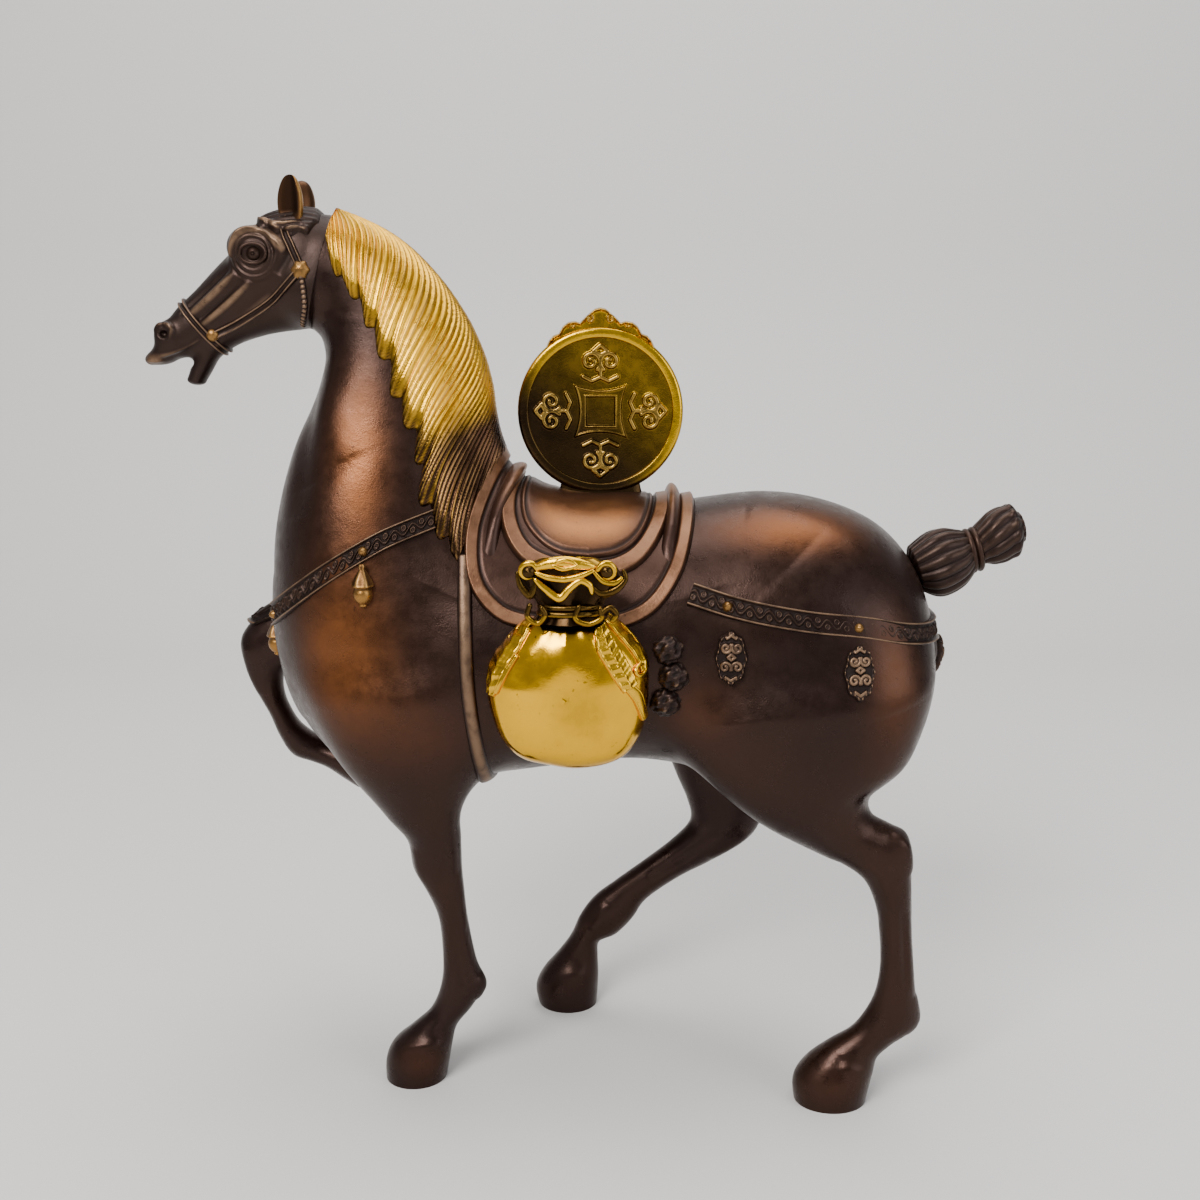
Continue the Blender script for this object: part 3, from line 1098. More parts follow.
def forelock():
    """A cap over the brow, lowest where it meets the ears, with two S-shaped locks on each side."""
    along, round_ = np.linspace(-95.5, -73.5, count(120)), np.linspace(-1.2, 1.2, count(181))
    x, phi = np.meshgrid(along, round_, indexing="ij")
    start = np.stack([x, 0 * x, 236 + 0 * x], -1)
    way = np.stack([0 * x, -np.sin(phi), np.cos(phi)], -1)
    p = shoot(skull, start, way, 24)
    low = np.interp(x, [-95.5, -92, -88, -84, -80, -76, -73.5],
                    [250.5, 247.4, 245.6, 244.6, 244.2, 244.8, 247.5])
    low = low + 0.5 * np.sin(x * 1.5)
    d = np.minimum(np.minimum(x + 95.5, -73.5 - x) * 0.9, (p[..., 2] - low) * 0.8)
    body = np.clip(d / 1.6, 0, 1) ** 0.6
    locks = 0
    for drop in (0.0, 1.9):
        for sign in (-1, 1):
            path = np.array([
                (-93.5, 2.6, 250.0), (-90.4, 5.6, 249.4 - drop * 0.6), (-87, 7.8, 247.8 - drop * 0.8),
                (-82.6, 9.3, 247.2 - drop), (-78.8, 9.8, 248.0 - drop), (-76.2, 10.3, 246.8 - drop)])
            path[:, 1] *= sign
            locks = locks + bell(near_path(p, skull.settle(path))[0], 0, 0.62)
    locks = np.clip(locks, 0, 1) * np.clip(d, 0, 1)
    hair = 0.5 * np.cos(2 * PI * (phi * 7.5 + 0.05 * np.abs(phi) * (x + 84))) * np.clip(d / 2, 0, 1)
    height = np.clip(body * (0.95 + 0.28 * hair) + 0.85 * locks, 0, 3) - 0.1 * (body <= 0)
    relief = np.clip(0.36 + 0.3 * hair + 0.55 * locks, 0, 1)
    band("forelock_cap", DARK, ["forelock"], skull, p, height, relief, sink=0.8, glow=0 * height)


forelock()


# ---- mane ----------------------------------------------------------------------------------------
MANE_EDGE = [
    (-75, 250), (-72, 243), (-68.5, 234), (-62.5, 226), (-58.5, 217), (-54.5, 209), (-52, 200), (-47.6, 192),
    (-45.5, 184), (-45, 176), (-41, 168), (-37.5, 161.5),
]


def mane():
    """A sheet over the crest in trunk coordinates: station from poll to withers, angle to both edges.

    Strand phase is the share run along the neck less an S-shaped lead that grows from the crest to
    the edge, so strands flow down the neck and out to the edge. Broad locks carry fine strands,
    and the edge bulges at every lock's tip.
    """
    edge = curve_through(MANE_EDGE, 8)
    up, _, h, _, _, _, s = trunk_tube.place(edge[:, 0], edge[:, 1])
    order = np.argsort(s)
    first, last = 20.3 * 6, 10.9 * 6
    u, t = np.meshgrid(np.linspace(0, 1, count(376)), np.linspace(-1, 1, count(131)), indexing="ij")
    st = first + (last - first) * u
    reach = np.arccos(np.clip(np.interp(st, s[order], (up / h)[order]), -0.5, 0.96))
    at = np.abs(t)
    lead = 0.24 * (2.1 * at - 2.7 * at**2 + 1.6 * at**3)
    phase = u - lead
    locks = phase * 10
    q = locks % 1.0
    fine = (np.floor(locks) + q ** (1 + 0.25 * at**2)) * 4.6
    tip = 1.5 * q**1.2 * (1 - q**5)
    scallop = (0.085 * tip - 0.045) * np.clip((at - 0.5) / 0.5, 0, 1) * np.clip((1 - u) / 0.06, 0.3, 1)
    reach = reach * (1 + scallop)
    p = trunk_tube.skin(np.minimum(st, len(trunk_tube.c) - 1.01), t * reach)
    p = horse.settle(p, 0.0, 4)
    n = horse.slope(p, 1.2)
    round_ = lambda q: 1 - np.abs(2 * (q % 1) - 1) ** 2.4
    big, small = round_(locks), round_(fine)
    border = np.minimum((1 - at) * 26, np.minimum(u * 100, (1 - u) * 34 + 0.6))
    body = np.clip(border / 2.4, 0, 1) ** 0.6
    crest = np.clip(at * 12, 0, 1)
    height = body * (1.3 + 0.5 * big * at + 0.85 * small * (0.5 + 0.5 * crest)) + 0.12
    relief = np.clip((0.1 + 0.72 * small) * (0.7 + 0.3 * big), 0, 1)
    gold = np.clip((0.84 - u - 0.10 * at) / 0.14, 0, 1) * np.clip((1.02 - at) / 0.22 + 0.2 * small, 0, 1)
    tops = 0.55 * np.clip((small - 0.75) * 4, 0, 1) * np.clip((at - 0.5) * 2, 0, 1)
    gold = np.maximum(gold, tops * np.clip((1.1 - u) * 3, 0, 1))
    pts, faces = slab(p, n, height, 1.2)
    relief = np.concatenate([relief.ravel(), np.full(u.size, 0.2)])
    glow = np.concatenate([gold.ravel(), np.zeros(u.size)])
    placed(mesh_object("mane_strands", pts, faces, relief=relief, glow=glow), MANE, "mane")


mane()


# ---- saddle --------------------------------------------------------------------------------------
CLOTH_FRONT = [
    (-23, 192), (-26.5, 186), (-30.5, 178), (-34, 165), (-32.5, 152), (-25, 143), (-14, 139.8), (-3, 139.3),
]
CLOTH_BACK = [(-3, 139.3), (7, 140), (17.5, 144.5), (25, 154), (29, 166), (31, 180), (31, 192)]
FLAP_FRONT = [(-16, 196), (-20, 186), (-25.5, 175), (-24.5, 165), (-19, 157), (-10, 153), (-1, 152)]
FLAP_BACK = [(-1, 152), (8, 153), (15.5, 157), (21.5, 165), (23.8, 174), (23.8, 190)]
SEAT_FRONT = [(-12.5, 196), (-17, 184), (-20.5, 175), (-19.5, 167), (-14.5, 161), (-8, 157.6), (0, 156.6)]
SEAT_BACK = [(0, 156.6), (7.5, 157.6), (13.5, 161), (17.5, 167), (19.5, 175), (19.5, 190)]


SPINE_CORE = 130  # height inside the trunk from which rays find the back


def saddle_layer(name, nodes, front, back, base, thick, rim, rim_wide, puff=0.0, bright=0.0):
    """A flap over the back: rows turn down both sides, columns run from the front edge to the back one.

    Height is the layer's thickness, rounded at the outline, with a flat raised band along the
    outline, a groove inside the band and a soft puff towards the middle.
    """
    bottom = front[-1][1]
    nu, nv = count(301), count(155)
    turn_ = np.linspace(0.5, 2.2, 80)
    ways = lambda a: np.stack([0 * a, -np.sin(a), np.cos(a)], -1)
    mid = np.stack([0 * turn_ - 4, 0 * turn_, 0 * turn_ + SPINE_CORE], 1)
    z = shoot(horse, mid, ways(turn_), 60)[:, 2]
    s, v = np.meshgrid(np.linspace(-1, 1, nu), (1 - np.cos(np.linspace(0, PI, nv))) / 2, indexing="ij")
    phi = np.interp(-bottom, -z, turn_) * np.sign(s) * (1 - (1 - np.abs(s)) ** 1.6)
    x = np.where(v < 0.5, -20.0, 20.0) * np.abs(2 * v - 1)
    for _ in range(8):
        p = shoot(horse, np.stack([x, 0 * x, SPINE_CORE + 0 * x], -1), ways(phi), 64)
        f, b = line_value(front, p[..., 2], 1), line_value(back, p[..., 2], 1)
        x = 0.4 * x + 0.6 * (f * (1 - v) + b * v)
    p = shoot(horse, np.stack([x, 0 * x, SPINE_CORE + 0 * x], -1), ways(phi), 64)
    outline = np.vstack([curve_through(front, 6), curve_through(back, 6)])
    d = line_distance(p[..., 0], p[..., 2], [outline])
    d[:, [0, -1]] = 0
    d[[0, -1]] = 0
    n = horse.slope(p, 1.2)
    border = np.clip(d / 0.8, 0, 1)
    border = border * (2 - border)
    band_ = soft(d - 0.35, 0.7) * (1 - soft(d - rim_wide, 0.8))
    groove = bell(d - rim_wide, 0.55, 0.45)
    puffed = puff * np.clip((d - rim_wide) / 8, 0, 1) ** 0.7
    height = base + border * thick + rim * band_ - 0.3 * groove + puffed
    relief = np.clip(0.5 + 0.3 * band_ - 0.42 * groove - 0.3 * bell(d, 0, 0.3), 0, 1)
    down = np.abs(phi)
    shine = bright * bell(down, 0.72, 0.42) * np.clip((d - rim_wide) / 5, 0, 1) + 0.1 + 0.25 * band_
    pts, faces = slab(p, n, height, 0.8)
    relief = np.concatenate([relief.ravel(), np.full(phi.size, 0.2)])
    glow = np.concatenate([shine.ravel(), np.zeros(phi.size)])
    placed(mesh_object(name, pts, faces, relief=relief, glow=glow), SADDLE, *nodes)


cloth, flap = ["saddle_cloth", "saddle_cloth_rim"], ["saddle_flap", "saddle_flap_rim"]
saddle_layer("saddle_cloth_layer", cloth, CLOTH_FRONT, CLOTH_BACK, 0.0, 1.3, 0.75, 3.6)
saddle_layer("saddle_flap_layer", flap, FLAP_FRONT, FLAP_BACK, 1.2, 1.4, 0.8, 3.8)
saddle_layer(
    "saddle_seat_layer", ["saddle_seat"], SEAT_FRONT, SEAT_BACK, 2.4, 1.1, 0.12, 0.6, puff=1.5, bright=0.8)


def saddle_arch(name, node, line, peak):
    """A roll over the spine along the flap's end: tallest on the spine, thinning down both sides."""
    phis = np.linspace(-0.8, 0.8, count(160))
    v = np.linspace(-1, 1, count(25))
    p = ring_points(horse, (0, SPINE_CORE), (0, 1), line, phis, v * 2.0)
    fall = bell(phis, 0, 0.42)[:, None]
    ends = np.clip((0.8 - np.abs(phis)) / 0.3, 0, 1)[:, None] ** 0.6
    height = (2.6 + peak * fall) * np.sqrt(np.clip(1 - v[None] ** 2, 0.0, 1)) * ends + 0.3
    relief = np.clip(0.45 + 0.5 * (1 - v[None] ** 2) * fall, 0, 1) + 0 * height
    band(name, SADDLE, [node], horse, p, height, relief, glow=0.35 * fall + 0 * height)


POMMEL = [(-27, 160), (-25.5, 170), (-22.5, 178), (-18.6, 186), (-15.5, 196)]
CANTLE = [(21.5, 160), (23.6, 168), (25, 175), (25.4, 182), (25, 192)]
saddle_arch("saddle_pommel_roll", "saddle_pommel", POMMEL, 1.9)
saddle_arch("saddle_cantle_roll", "saddle_cantle", CANTLE, 2.6)


# ---- tail ----------------------------------------------------------------------------------------
def tail():
    """Two grooved lobes: the tube's radius carries rounded strands that twist slowly along it."""
    for name, node, s0, s1, strands, twist in (
        ("tail_lobe_strands", "tail_lobe", 0, 25.2, 15, 0.5),
        ("tail_tuft_strands", "tail_tuft", 22.8, 53.9, 12, 0.9)):
        u, a = np.linspace(0, 1, count(120)), np.linspace(0, 2 * PI, count(241))[:-1]
        ss, aa = np.meshgrid(s0 + (s1 - s0) * u, a, indexing="ij")
        mid = tail_tube.skin(ss, aa)
        centre = mid.mean(1, keepdims=True)
        q = (aa / (2 * PI) * strands + twist * u[:, None] * 2) % 1
        ridge = 1 - np.abs(2 * q - 1) ** 2.2
        ends = np.clip(np.minimum(u, 1 - u) / 0.07, 0.15, 1)[:, None] ** 0.5
        knots = 0.0
        if "tuft" in name:
            swell = 0.16 * bell(u, 0.72, 0.06) + 0.14 * bell(u, 0.9, 0.06)
            knots = (swell - 0.1 * bell(u, 0.82, 0.03))[:, None]
        scale = (0.93 + 0.1 * ridge + knots) * ends
        rings = centre + (mid - centre) * scale[..., None]
        pts, faces = closed_loft(rings)
        relief = np.concatenate([np.clip(0.14 + 0.55 * ridge, 0, 1).ravel(), [0.4, 0.4]])
        placed(mesh_object(name, pts, faces, relief=relief, glow=0.12 * relief), DARK, node)
    c = tail_tube.skin(np.full(80, 24.0), np.linspace(0, 2 * PI, 81)[:-1])
    ring = np.vstack([c, c[:2]])
    parts = [sweep(ring + np.array([dx, 0, dx * 0.3]), 1.0, 10, facing=(1, 0, 0)) for dx in (-0.9, 0.9)]
    pts, faces = merged(parts)
    relief, glow = np.full(len(pts), 0.6), np.full(len(pts), 0.2)
    placed(mesh_object("tail_binding_cords", pts, faces, relief=relief, glow=glow), DARK, "tail_binding")


tail()


# ---- coin ----------------------------------------------------------------------------------------
CLOUD_KNOT = [
    spiral(-2.0, 0.5, 2.1, 0.45, 1.45, -0.9, 1), spiral(2.0, 0.5, 2.1, 0.45, 1.45, PI + 0.9, -1),
    [(-3.6, -2.6), (-1.8, -3.5), (0, -2.7), (1.8, -3.5), (3.6, -2.6)],
    [(-1.5, 2.6), (0, 3.9), (1.5, 2.6), (0, 1.9), (-1.5, 2.6)], [(0, -2.4), (0, -0.9)],
]


def coin_height(x, z):
    """Height of a coin face: the field, a square frame with hollow sides, a sunk middle, four knots."""
    big, small = np.maximum(np.abs(x), np.abs(z)), np.minimum(np.abs(x), np.abs(z))
    out = 5.9 + 1.0 * (small / 6) ** 2 - big
    inner = 4.0 - big
    frame = soft(out, 0.35) * (1 - soft(inner, 0.35))
    lip = bell(out, 0.3, 0.28) + bell(inner, -0.3, 0.28)
    h = 0.62 * frame + 0.3 * lip * frame - 0.45 * soft(inner, 0.4)
    knots = 0
    for cx, cz, ang in ((0, 13.2, 0), (0, -13.2, PI), (13.2, 0, -PI / 2), (-13.2, 0, PI / 2)):
        u = (x - cx) * math.cos(ang) + (z - cz) * math.sin(ang)
        v = -(x - cx) * math.sin(ang) + (z - cz) * math.cos(ang)
        knots = np.maximum(knots, ridge_of(line_distance(u / 1.35, v / 1.35, CLOUD_KNOT), 0.5))
    return h + 0.72 * knots, np.clip(0.9 * knots + 0.8 * lip * frame, 0, 1)


COIN_AT = np.array([3.0, 0, 196.5])
FIELD_RADIUS = 20.8
CREST_FOOT = 22.4
# The crest's outline: degrees from the top, distance from the coin's middle.
CREST_OUTLINE = [(0, 28.8), (3, 28.5), (6, 27.5), (9, 26.6), (13, 25.3), (16, 26.1), (20, 26.4), (24, 25.9),
                 (28.5, 24.6), (32, 24.9), (36, 24.5), (40, 23.6), (45.3, 22.9)]


def coin_gold(x, z):
    """Gilding left at the top and right, gone to dark patina at the lower left."""
    return np.clip(0.5 + 0.024 * x + 0.030 * z, 0.02, 1)


def coin_faces():
    """Rings from the middle of one face out and over to the middle of the other, both in relief."""
    na, nr = count(360) - 1, count(115)
    a = np.arange(na) * 2 * PI / na
    r = np.linspace(0.02, FIELD_RADIUS, nr)
    x, z = r[:, None] * np.cos(a), r[:, None] * np.sin(a)
    h, bright = coin_height(x, z)
    dish = 0.15 * np.sin(np.clip(r / FIELD_RADIUS, 0, 1) * PI)[:, None]
    front = np.stack([x, -(1.25 + h - dish), z], -1)
    h2, bright2 = coin_height(-x, z)
    back = np.stack([x, 1.25 + h2 - dish, z], -1)
    rings = np.concatenate([front, back[::-1]])
    pts, faces = closed_loft(rings + COIN_AT)
    valley = np.clip(0.36 + 0.64 * np.concatenate([bright, bright2[::-1]]), 0, 1)
    gold = coin_gold(rings[..., 0], rings[..., 2]) * 0.5
    relief = np.concatenate([valley.ravel(), [0.2, 0.2]])
    glow = np.concatenate([gold.ravel(), [0.4, 0.4]])
    made = mesh_object("coin_field", pts, faces, relief=relief, glow=glow)
    placed(made, COIN, "coin_disc", "coin_square", "coin_ornaments")


def coin_rim():
    """A ring about the faces: a rounded square turned round the coin's axis."""
    n, m = count(280) - 1, 28
    a, b = np.meshgrid(np.arange(n) * 2 * PI / n, np.arange(m) * 2 * PI / m, indexing="ij")
    cb, sb = np.cos(b), np.sin(b)
    rr = 21.9 + 1.6 * np.sign(cb) * np.abs(cb) ** 0.7
    yy = 2.1 * np.sign(sb) * np.abs(sb) ** 0.6
    hook = 0.25 * bell(cb, -0.75, 0.2) * np.sign(sb)
    p = np.stack([rr * np.cos(a), yy + hook, rr * np.sin(a)], -1) + COIN_AT
    pts = p.reshape(-1, 3)
    gold = coin_gold(p[..., 0] - COIN_AT[0], p[..., 2] - COIN_AT[2]) * 1.25
    relief = np.clip(0.55 + 0.45 * np.abs(cb) ** 3, 0, 1)
    faces = outward(pts, grid_faces(n, m, True, True))
    glow = np.clip(gold, 0, 1).ravel()
    placed(mesh_object("coin_rim_ring", pts, faces, relief=relief.ravel(), glow=glow), COIN, "coin_rim")


def coin_crest():
    """A fan over the coin's top: its outline is a smooth line, its faces carry spiral curls."""
    nt, nq = count(361), count(41)
    t, q = np.linspace(-0.79, 0.79, nt), np.linspace(0, 1, nq)
    deg = np.degrees(np.abs(t))
    top = np.interp(deg, *zip(*CREST_OUTLINE))
    rad = CREST_FOOT + (top[:, None] - CREST_FOOT) * q
    x, z = rad * np.sin(t)[:, None], rad * np.cos(t)[:, None]
    curls = []
    for cx, cz, size in ((3.0, 25.6, 1.5), (7.9, 24.1, 1.15), (11.6, 22.1, 1.0), (14.2, 20.2, 0.8)):
        curls += [spiral(cx, cz, size, 0.25, 1.3, -0.4, 1), spiral(-cx, cz, size, 0.25, 1.3, PI + 0.4, -1)]
    knots = ridge_of(line_distance(x, z, curls), 0.42)
    border = bell((1 - q) * (top[:, None] - CREST_FOOT), 0.45, 0.4)
    h = 1.0 + 0.55 * knots + 0.75 * border
    ends = np.sqrt(np.clip((0.79 - np.abs(t)) / 0.03, 0.05, 1))[:, None]
    round_edge = np.sqrt(np.clip((1 - q) * (top[:, None] - CREST_FOOT) / 0.35, 0.04, 1))
    front = np.stack([x, -h * ends * round_edge, z], -1)
    back = np.stack([x, h * ends * round_edge, z], -1)
    rings = np.concatenate([front, back[:, ::-1]], 1)
    pts, faces = closed_loft(rings + COIN_AT)
    shine = np.clip(0.35 + 0.65 * np.maximum(knots, border), 0, 1)
    shine = np.concatenate([shine, shine[:, ::-1]], 1)
    relief = np.concatenate([shine.ravel(), [0.5, 0.5]])
    glow = np.concatenate([np.clip(0.45 + 0.6 * shine, 0, 1).ravel(), [1, 1]])
    placed(mesh_object("coin_crest_clouds", pts, faces, relief=relief, glow=glow), COIN, "coin_crest")


def coin_foot():
    """Oval rings from the saddle up to the coin, each a little smaller by a root of the height."""
    zz = np.linspace(0, 1, 24)
    a = np.linspace(0, 2 * PI, 97)[:-1]
    lx, ly = 14.5 - 3.2 * zz**0.5, 3.4 - 1.6 * zz**0.6
    rings = np.stack([3 + lx[:, None] * np.cos(a), ly[:, None] * np.sin(a),
                      (168.5 + 7.5 * zz[:, None]) + 0 * a], -1)
    pts, faces = closed_loft(rings)
    relief, glow = np.full(len(pts), 0.4), np.zeros(len(pts))
    placed(mesh_object("coin_foot_mound", pts, faces, relief=relief, glow=glow), COIN, "coin_foot")


coin_faces()
coin_rim()
coin_crest()
coin_foot()


# ---- bells and medallions ------------------------------------------------------------------------
BELL_PROFILE = [
    (0.05, 6.0), (0.8, 5.9), (1.05, 5.2), (0.8, 4.5), (1.3, 3.7), (2.1, 2.2), (2.75, 0.6), (2.95, 0.0),
    (2.5, -0.3), (2.3, -0.8), (2.6, -1.8), (2.45, -3.2), (1.7, -4.4), (1.0, -4.9), (1.1, -5.4), (0.05, -6.0),
]


def bells():
    """A small cap with petals over a hanging drop, turned about an upright axis."""
    for name, x, z, sign in (("left", -60.5, 152.0, -1), ("right", -60.5, 152.0, 1), ("front", 0, 131.0, 0)):
        if sign:
            c = side_points(horse, x, z, sign) + np.array([0, sign * 1.7, 0])
        else:
            c = shoot(horse, np.array([-60.0, 0, z]), np.array([-1.0, 0, 0]), 60) + np.array([-1.5, 0, 0])
        pts, faces = turned(curve_through(BELL_PROFILE, 3), c, (0, 0, 1), 40)
        rel = pts - c
        a = np.arctan2(rel[:, 1], rel[:, 0])
        petal = 1 + 0.07 * np.cos(6 * a) * bell(rel[:, 2], 1.6, 1.6)
        pts[:, :2] = c[:2] + rel[:, :2] * petal[:, None]
        waist = bell(rel[:, 2], -0.6, 0.5)
        relief = np.clip(0.62 + 0.3 * np.cos(6 * a) * (rel[:, 2] > 0) - 0.5 * waist, 0, 1)
        glow = 0.25 + 0.45 * (rel[:, 2] < 0.4)
        made = mesh_object(f"bell_{name}", pts, faces, relief=relief, glow=glow)
        placed(made, BRASS, f"breast_bell_{name}")


bells()

MEDAL = [
    spiral(-1.5, 2.9, 1.5, 0.3, 1.3, 0.6, -1), spiral(1.5, 2.9, 1.5, 0.3, 1.3, PI - 0.6, 1),
    spiral(-1.6, -2.2, 1.6, 0.3, 1.3, -0.5, 1), spiral(1.6, -2.2, 1.6, 0.3, 1.3, PI + 0.5, -1),
    [(-1.2, 5.3), (0, 6.1), (1.2, 5.3)], [(-1.0, 0.5), (0, 1.2), (1.0, 0.5), (0, -0.2), (-1.0, 0.5)],
    [(-1.4, -5.0), (0, -5.9), (1.4, -5.0)],
]


def medallion(block, x, z, sign):
    """An oval dome on the hide: scroll lines in relief over it, a beaded border."""
    na, nr = count(120) - 1, count(41)
    a, r = np.meshgrid(np.arange(na) * 2 * PI / na, np.linspace(0.01, 1, nr), indexing="ij")
    lobed = 1 + 0.05 * np.cos(8 * a)
    u, v = 4.2 * r * np.cos(a) * lobed, 7.2 * r * np.sin(a) * lobed
    if sign:
        p = side_points(block, x + u, z + v, sign)
    else:
        start = np.stack([60 + 0 * u, u, z + v], -1)
        p = shoot(block, start, np.array([1.0, 0, 0]), 60)
    n = block.slope(p, 1.2)
    knots = ridge_of(line_distance(u, v, MEDAL), 0.55)
    border = bell(r, 0.9, 0.07) * (0.7 + 0.3 * np.cos(22 * a))
    shape = np.maximum(knots * (r < 0.95), border)
    edge = np.sqrt(np.clip((1 - r) / 0.06, 0, 1))
    height = (0.7 + 0.9 * np.sqrt(np.clip(1 - r**2, 0, 1)) + 0.85 * shape) * edge
    pts, faces = slab(p, n, height, 1.0, True)
    k = u.size
    mid = np.arange(na) * nr
    cap = [tuple(int(i) for i in mid), tuple(int(i) + k for i in mid[::-1])]
    values = np.concatenate([np.clip(0.12 + 0.85 * shape, 0, 1).ravel(), np.full(k, 0.2)])
    return pts, [tuple(q) for q in faces.tolist()] + orient_cap(faces, cap), values


def orient_cap(faces, caps):
    """Turns end caps so that they run against the faces they close."""
    have = set()
    for q in faces.tolist():
        have |= set(zip(q, q[1:] + q[:1]))
    return [c if (c[0], c[1]) not in have else c[::-1] for c in caps]


def medallions():
    """Two on each flank and one behind."""
    for side, sign in SIDES:
        made = [medallion(horse, x, z, sign) for x, z in ((38, 133), (72, 129))]
        pts, faces = merged([m[:2] for m in made])
        values = np.concatenate([m[2] for m in made])
        glow = 0.1 + 0 * values
        name = f"medallion_scrolls_{side}"
        placed(mesh_object(name, pts, faces, relief=values, glow=glow), DARK, f"medallions_{side}")
    pts, faces, values = medallion(horse, 97.8, 124, 0)
    glow = 0.1 + 0 * values
    made = mesh_object("medallion_scrolls_rear", pts, faces, relief=values, glow=glow)
    placed(made, DARK, "medallion_rear")


medallions()


# ---- money bags ----------------------------------------------------------------------------------
BAG_EDGE = [
    (16, 129), (15.6, 120), (14, 113), (10, 107), (4, 104), (-4, 103), (-11, 104), (-17, 105.4), (-21, 108),
    (-24, 112), (-26.2, 118), (-27.4, 124), (-27.4, 129), (-25.6, 133), (-22, 137.4), (-17.5, 142),
    (-12.5, 145.6), (-6, 147), (1, 146.4), (6, 143.6), (11.5, 138), (15, 133.4), (16, 129),
]
BAG_AT = np.array([-6.0, 37.0, 124.5])
BAG_FRONT, BAG_BACK = 11.4, 11.5  # how far the bag swells out and in from its middle
BAG_SQUARE, BAG_FLAT = 2.7, 2.1  # powers: how square its side view is, how flat its front
NECK_X, NECK_Y = -5.0, 42.2


def bag_radius(a):
    """Distance from the bag's middle to its outline in a direction of the side view."""
    c = curve_through(BAG_EDGE[:-1] + BAG_EDGE[:1], 8) - BAG_AT[[0, 2]]
    t = np.arctan2(c[:, 1], c[:, 0])
    order = np.argsort(t)
    return np.interp(a, t[order], np.hypot(c[:, 0], c[:, 1])[order], period=2 * PI)


def bag_lumps(x, z):
    """Hand-made unevenness: folds that fan from the neck, and a few shallow dents and swellings."""
    d = np.hypot((x + 6) / 1.2, z - 149)
    ang = np.arctan2(x + 6, 149 - z)
    f = 0.55 * np.cos(ang * 9) * bell(d, 0, 10)
    for cx, cz, size, rise in ((6, 110, 3.6, -0.35), (9.5, 115.5, 3, 0.3), (-16, 112, 5, -0.3),
                               (-21, 126, 4, 0.3), (2, 107, 3, 0.25), (-3, 138.5, 6, 0.45)):
        f = f + rise * np.exp(-(((x - cx) / size) ** 2 + ((z - cz) / size) ** 2))
    return f


def bag_front(x, z):
    """How far out the bag's front lies at a place of the side view."""
    dx, dz = x - BAG_AT[0], z - BAG_AT[2]
    rho = np.clip(np.hypot(dx, dz) / bag_radius(np.arctan2(dz, dx)), 0, 1)
    return BAG_AT[1] + BAG_FRONT * (1 - rho**BAG_SQUARE) ** (1 / BAG_FLAT) + bag_lumps(x, z) * (1 - rho**6)


def ribbon(path, half, thick, sign, ribs=0):
    """A flat strip on the bag: path and half width in the side view, laid on the bag's front."""
    c = curve_through(path, 12)
    t = np.linspace(0, 1, count(90))
    c = np.stack([np.interp(t, np.linspace(0, 1, len(c)), c[:, k]) for k in (0, 1)], 1)
    d = np.gradient(c, axis=0)
    d /= np.linalg.norm(d, axis=1, keepdims=True)
    v = np.linspace(-1, 1, count(25))
    w = np.interp(t, np.linspace(0, 1, len(half)), half)
    q = c[:, None] + np.stack([-d[:, 1], d[:, 0]], 1)[:, None] * (w[:, None] * v)[..., None]
    y = bag_front(q[..., 0], q[..., 1])
    p = np.stack([q[..., 0], sign * y, q[..., 1]], -1)
    gx, gz = np.gradient(p, axis=0), np.gradient(p, axis=1)
    nn = np.cross(gx, gz)
    nn /= np.linalg.norm(nn, axis=-1, keepdims=True) + 1e-9
    nn = np.where((nn[..., 1:2] * sign) < 0, -nn, nn)
    dome = np.sqrt(np.clip(1 - v**2, 0, 1))[None]
    wave = np.cos(2 * PI * (t[:, None] * ribs + 0.35 * np.abs(v)))
    rib = 0.5 + (0.5 if ribs else 0) * wave
    ends = np.sqrt(np.clip(np.minimum(t, 1 - t) / 0.05, 0.02, 1))[:, None]
    spine = bell(v, 0, 0.16)[None]
    edge = bell(np.abs(v), 0.86, 0.12)[None]
    height = thick * ends * (0.5 * dome + 0.25 * rib * dome + 0.2 * edge) + 0.15
    height = height + (0.25 * spine * ends if ribs else 0)
    pts, faces = slab(p, nn, height, 0.9)
    relief = np.clip(0.3 + 0.5 * rib * dome + 0.4 * edge + (0.2 * spine if ribs else 0), 0, 1) + 0 * height
    return pts, faces, np.concatenate([relief.ravel(), np.full(relief.size, 0.2)])


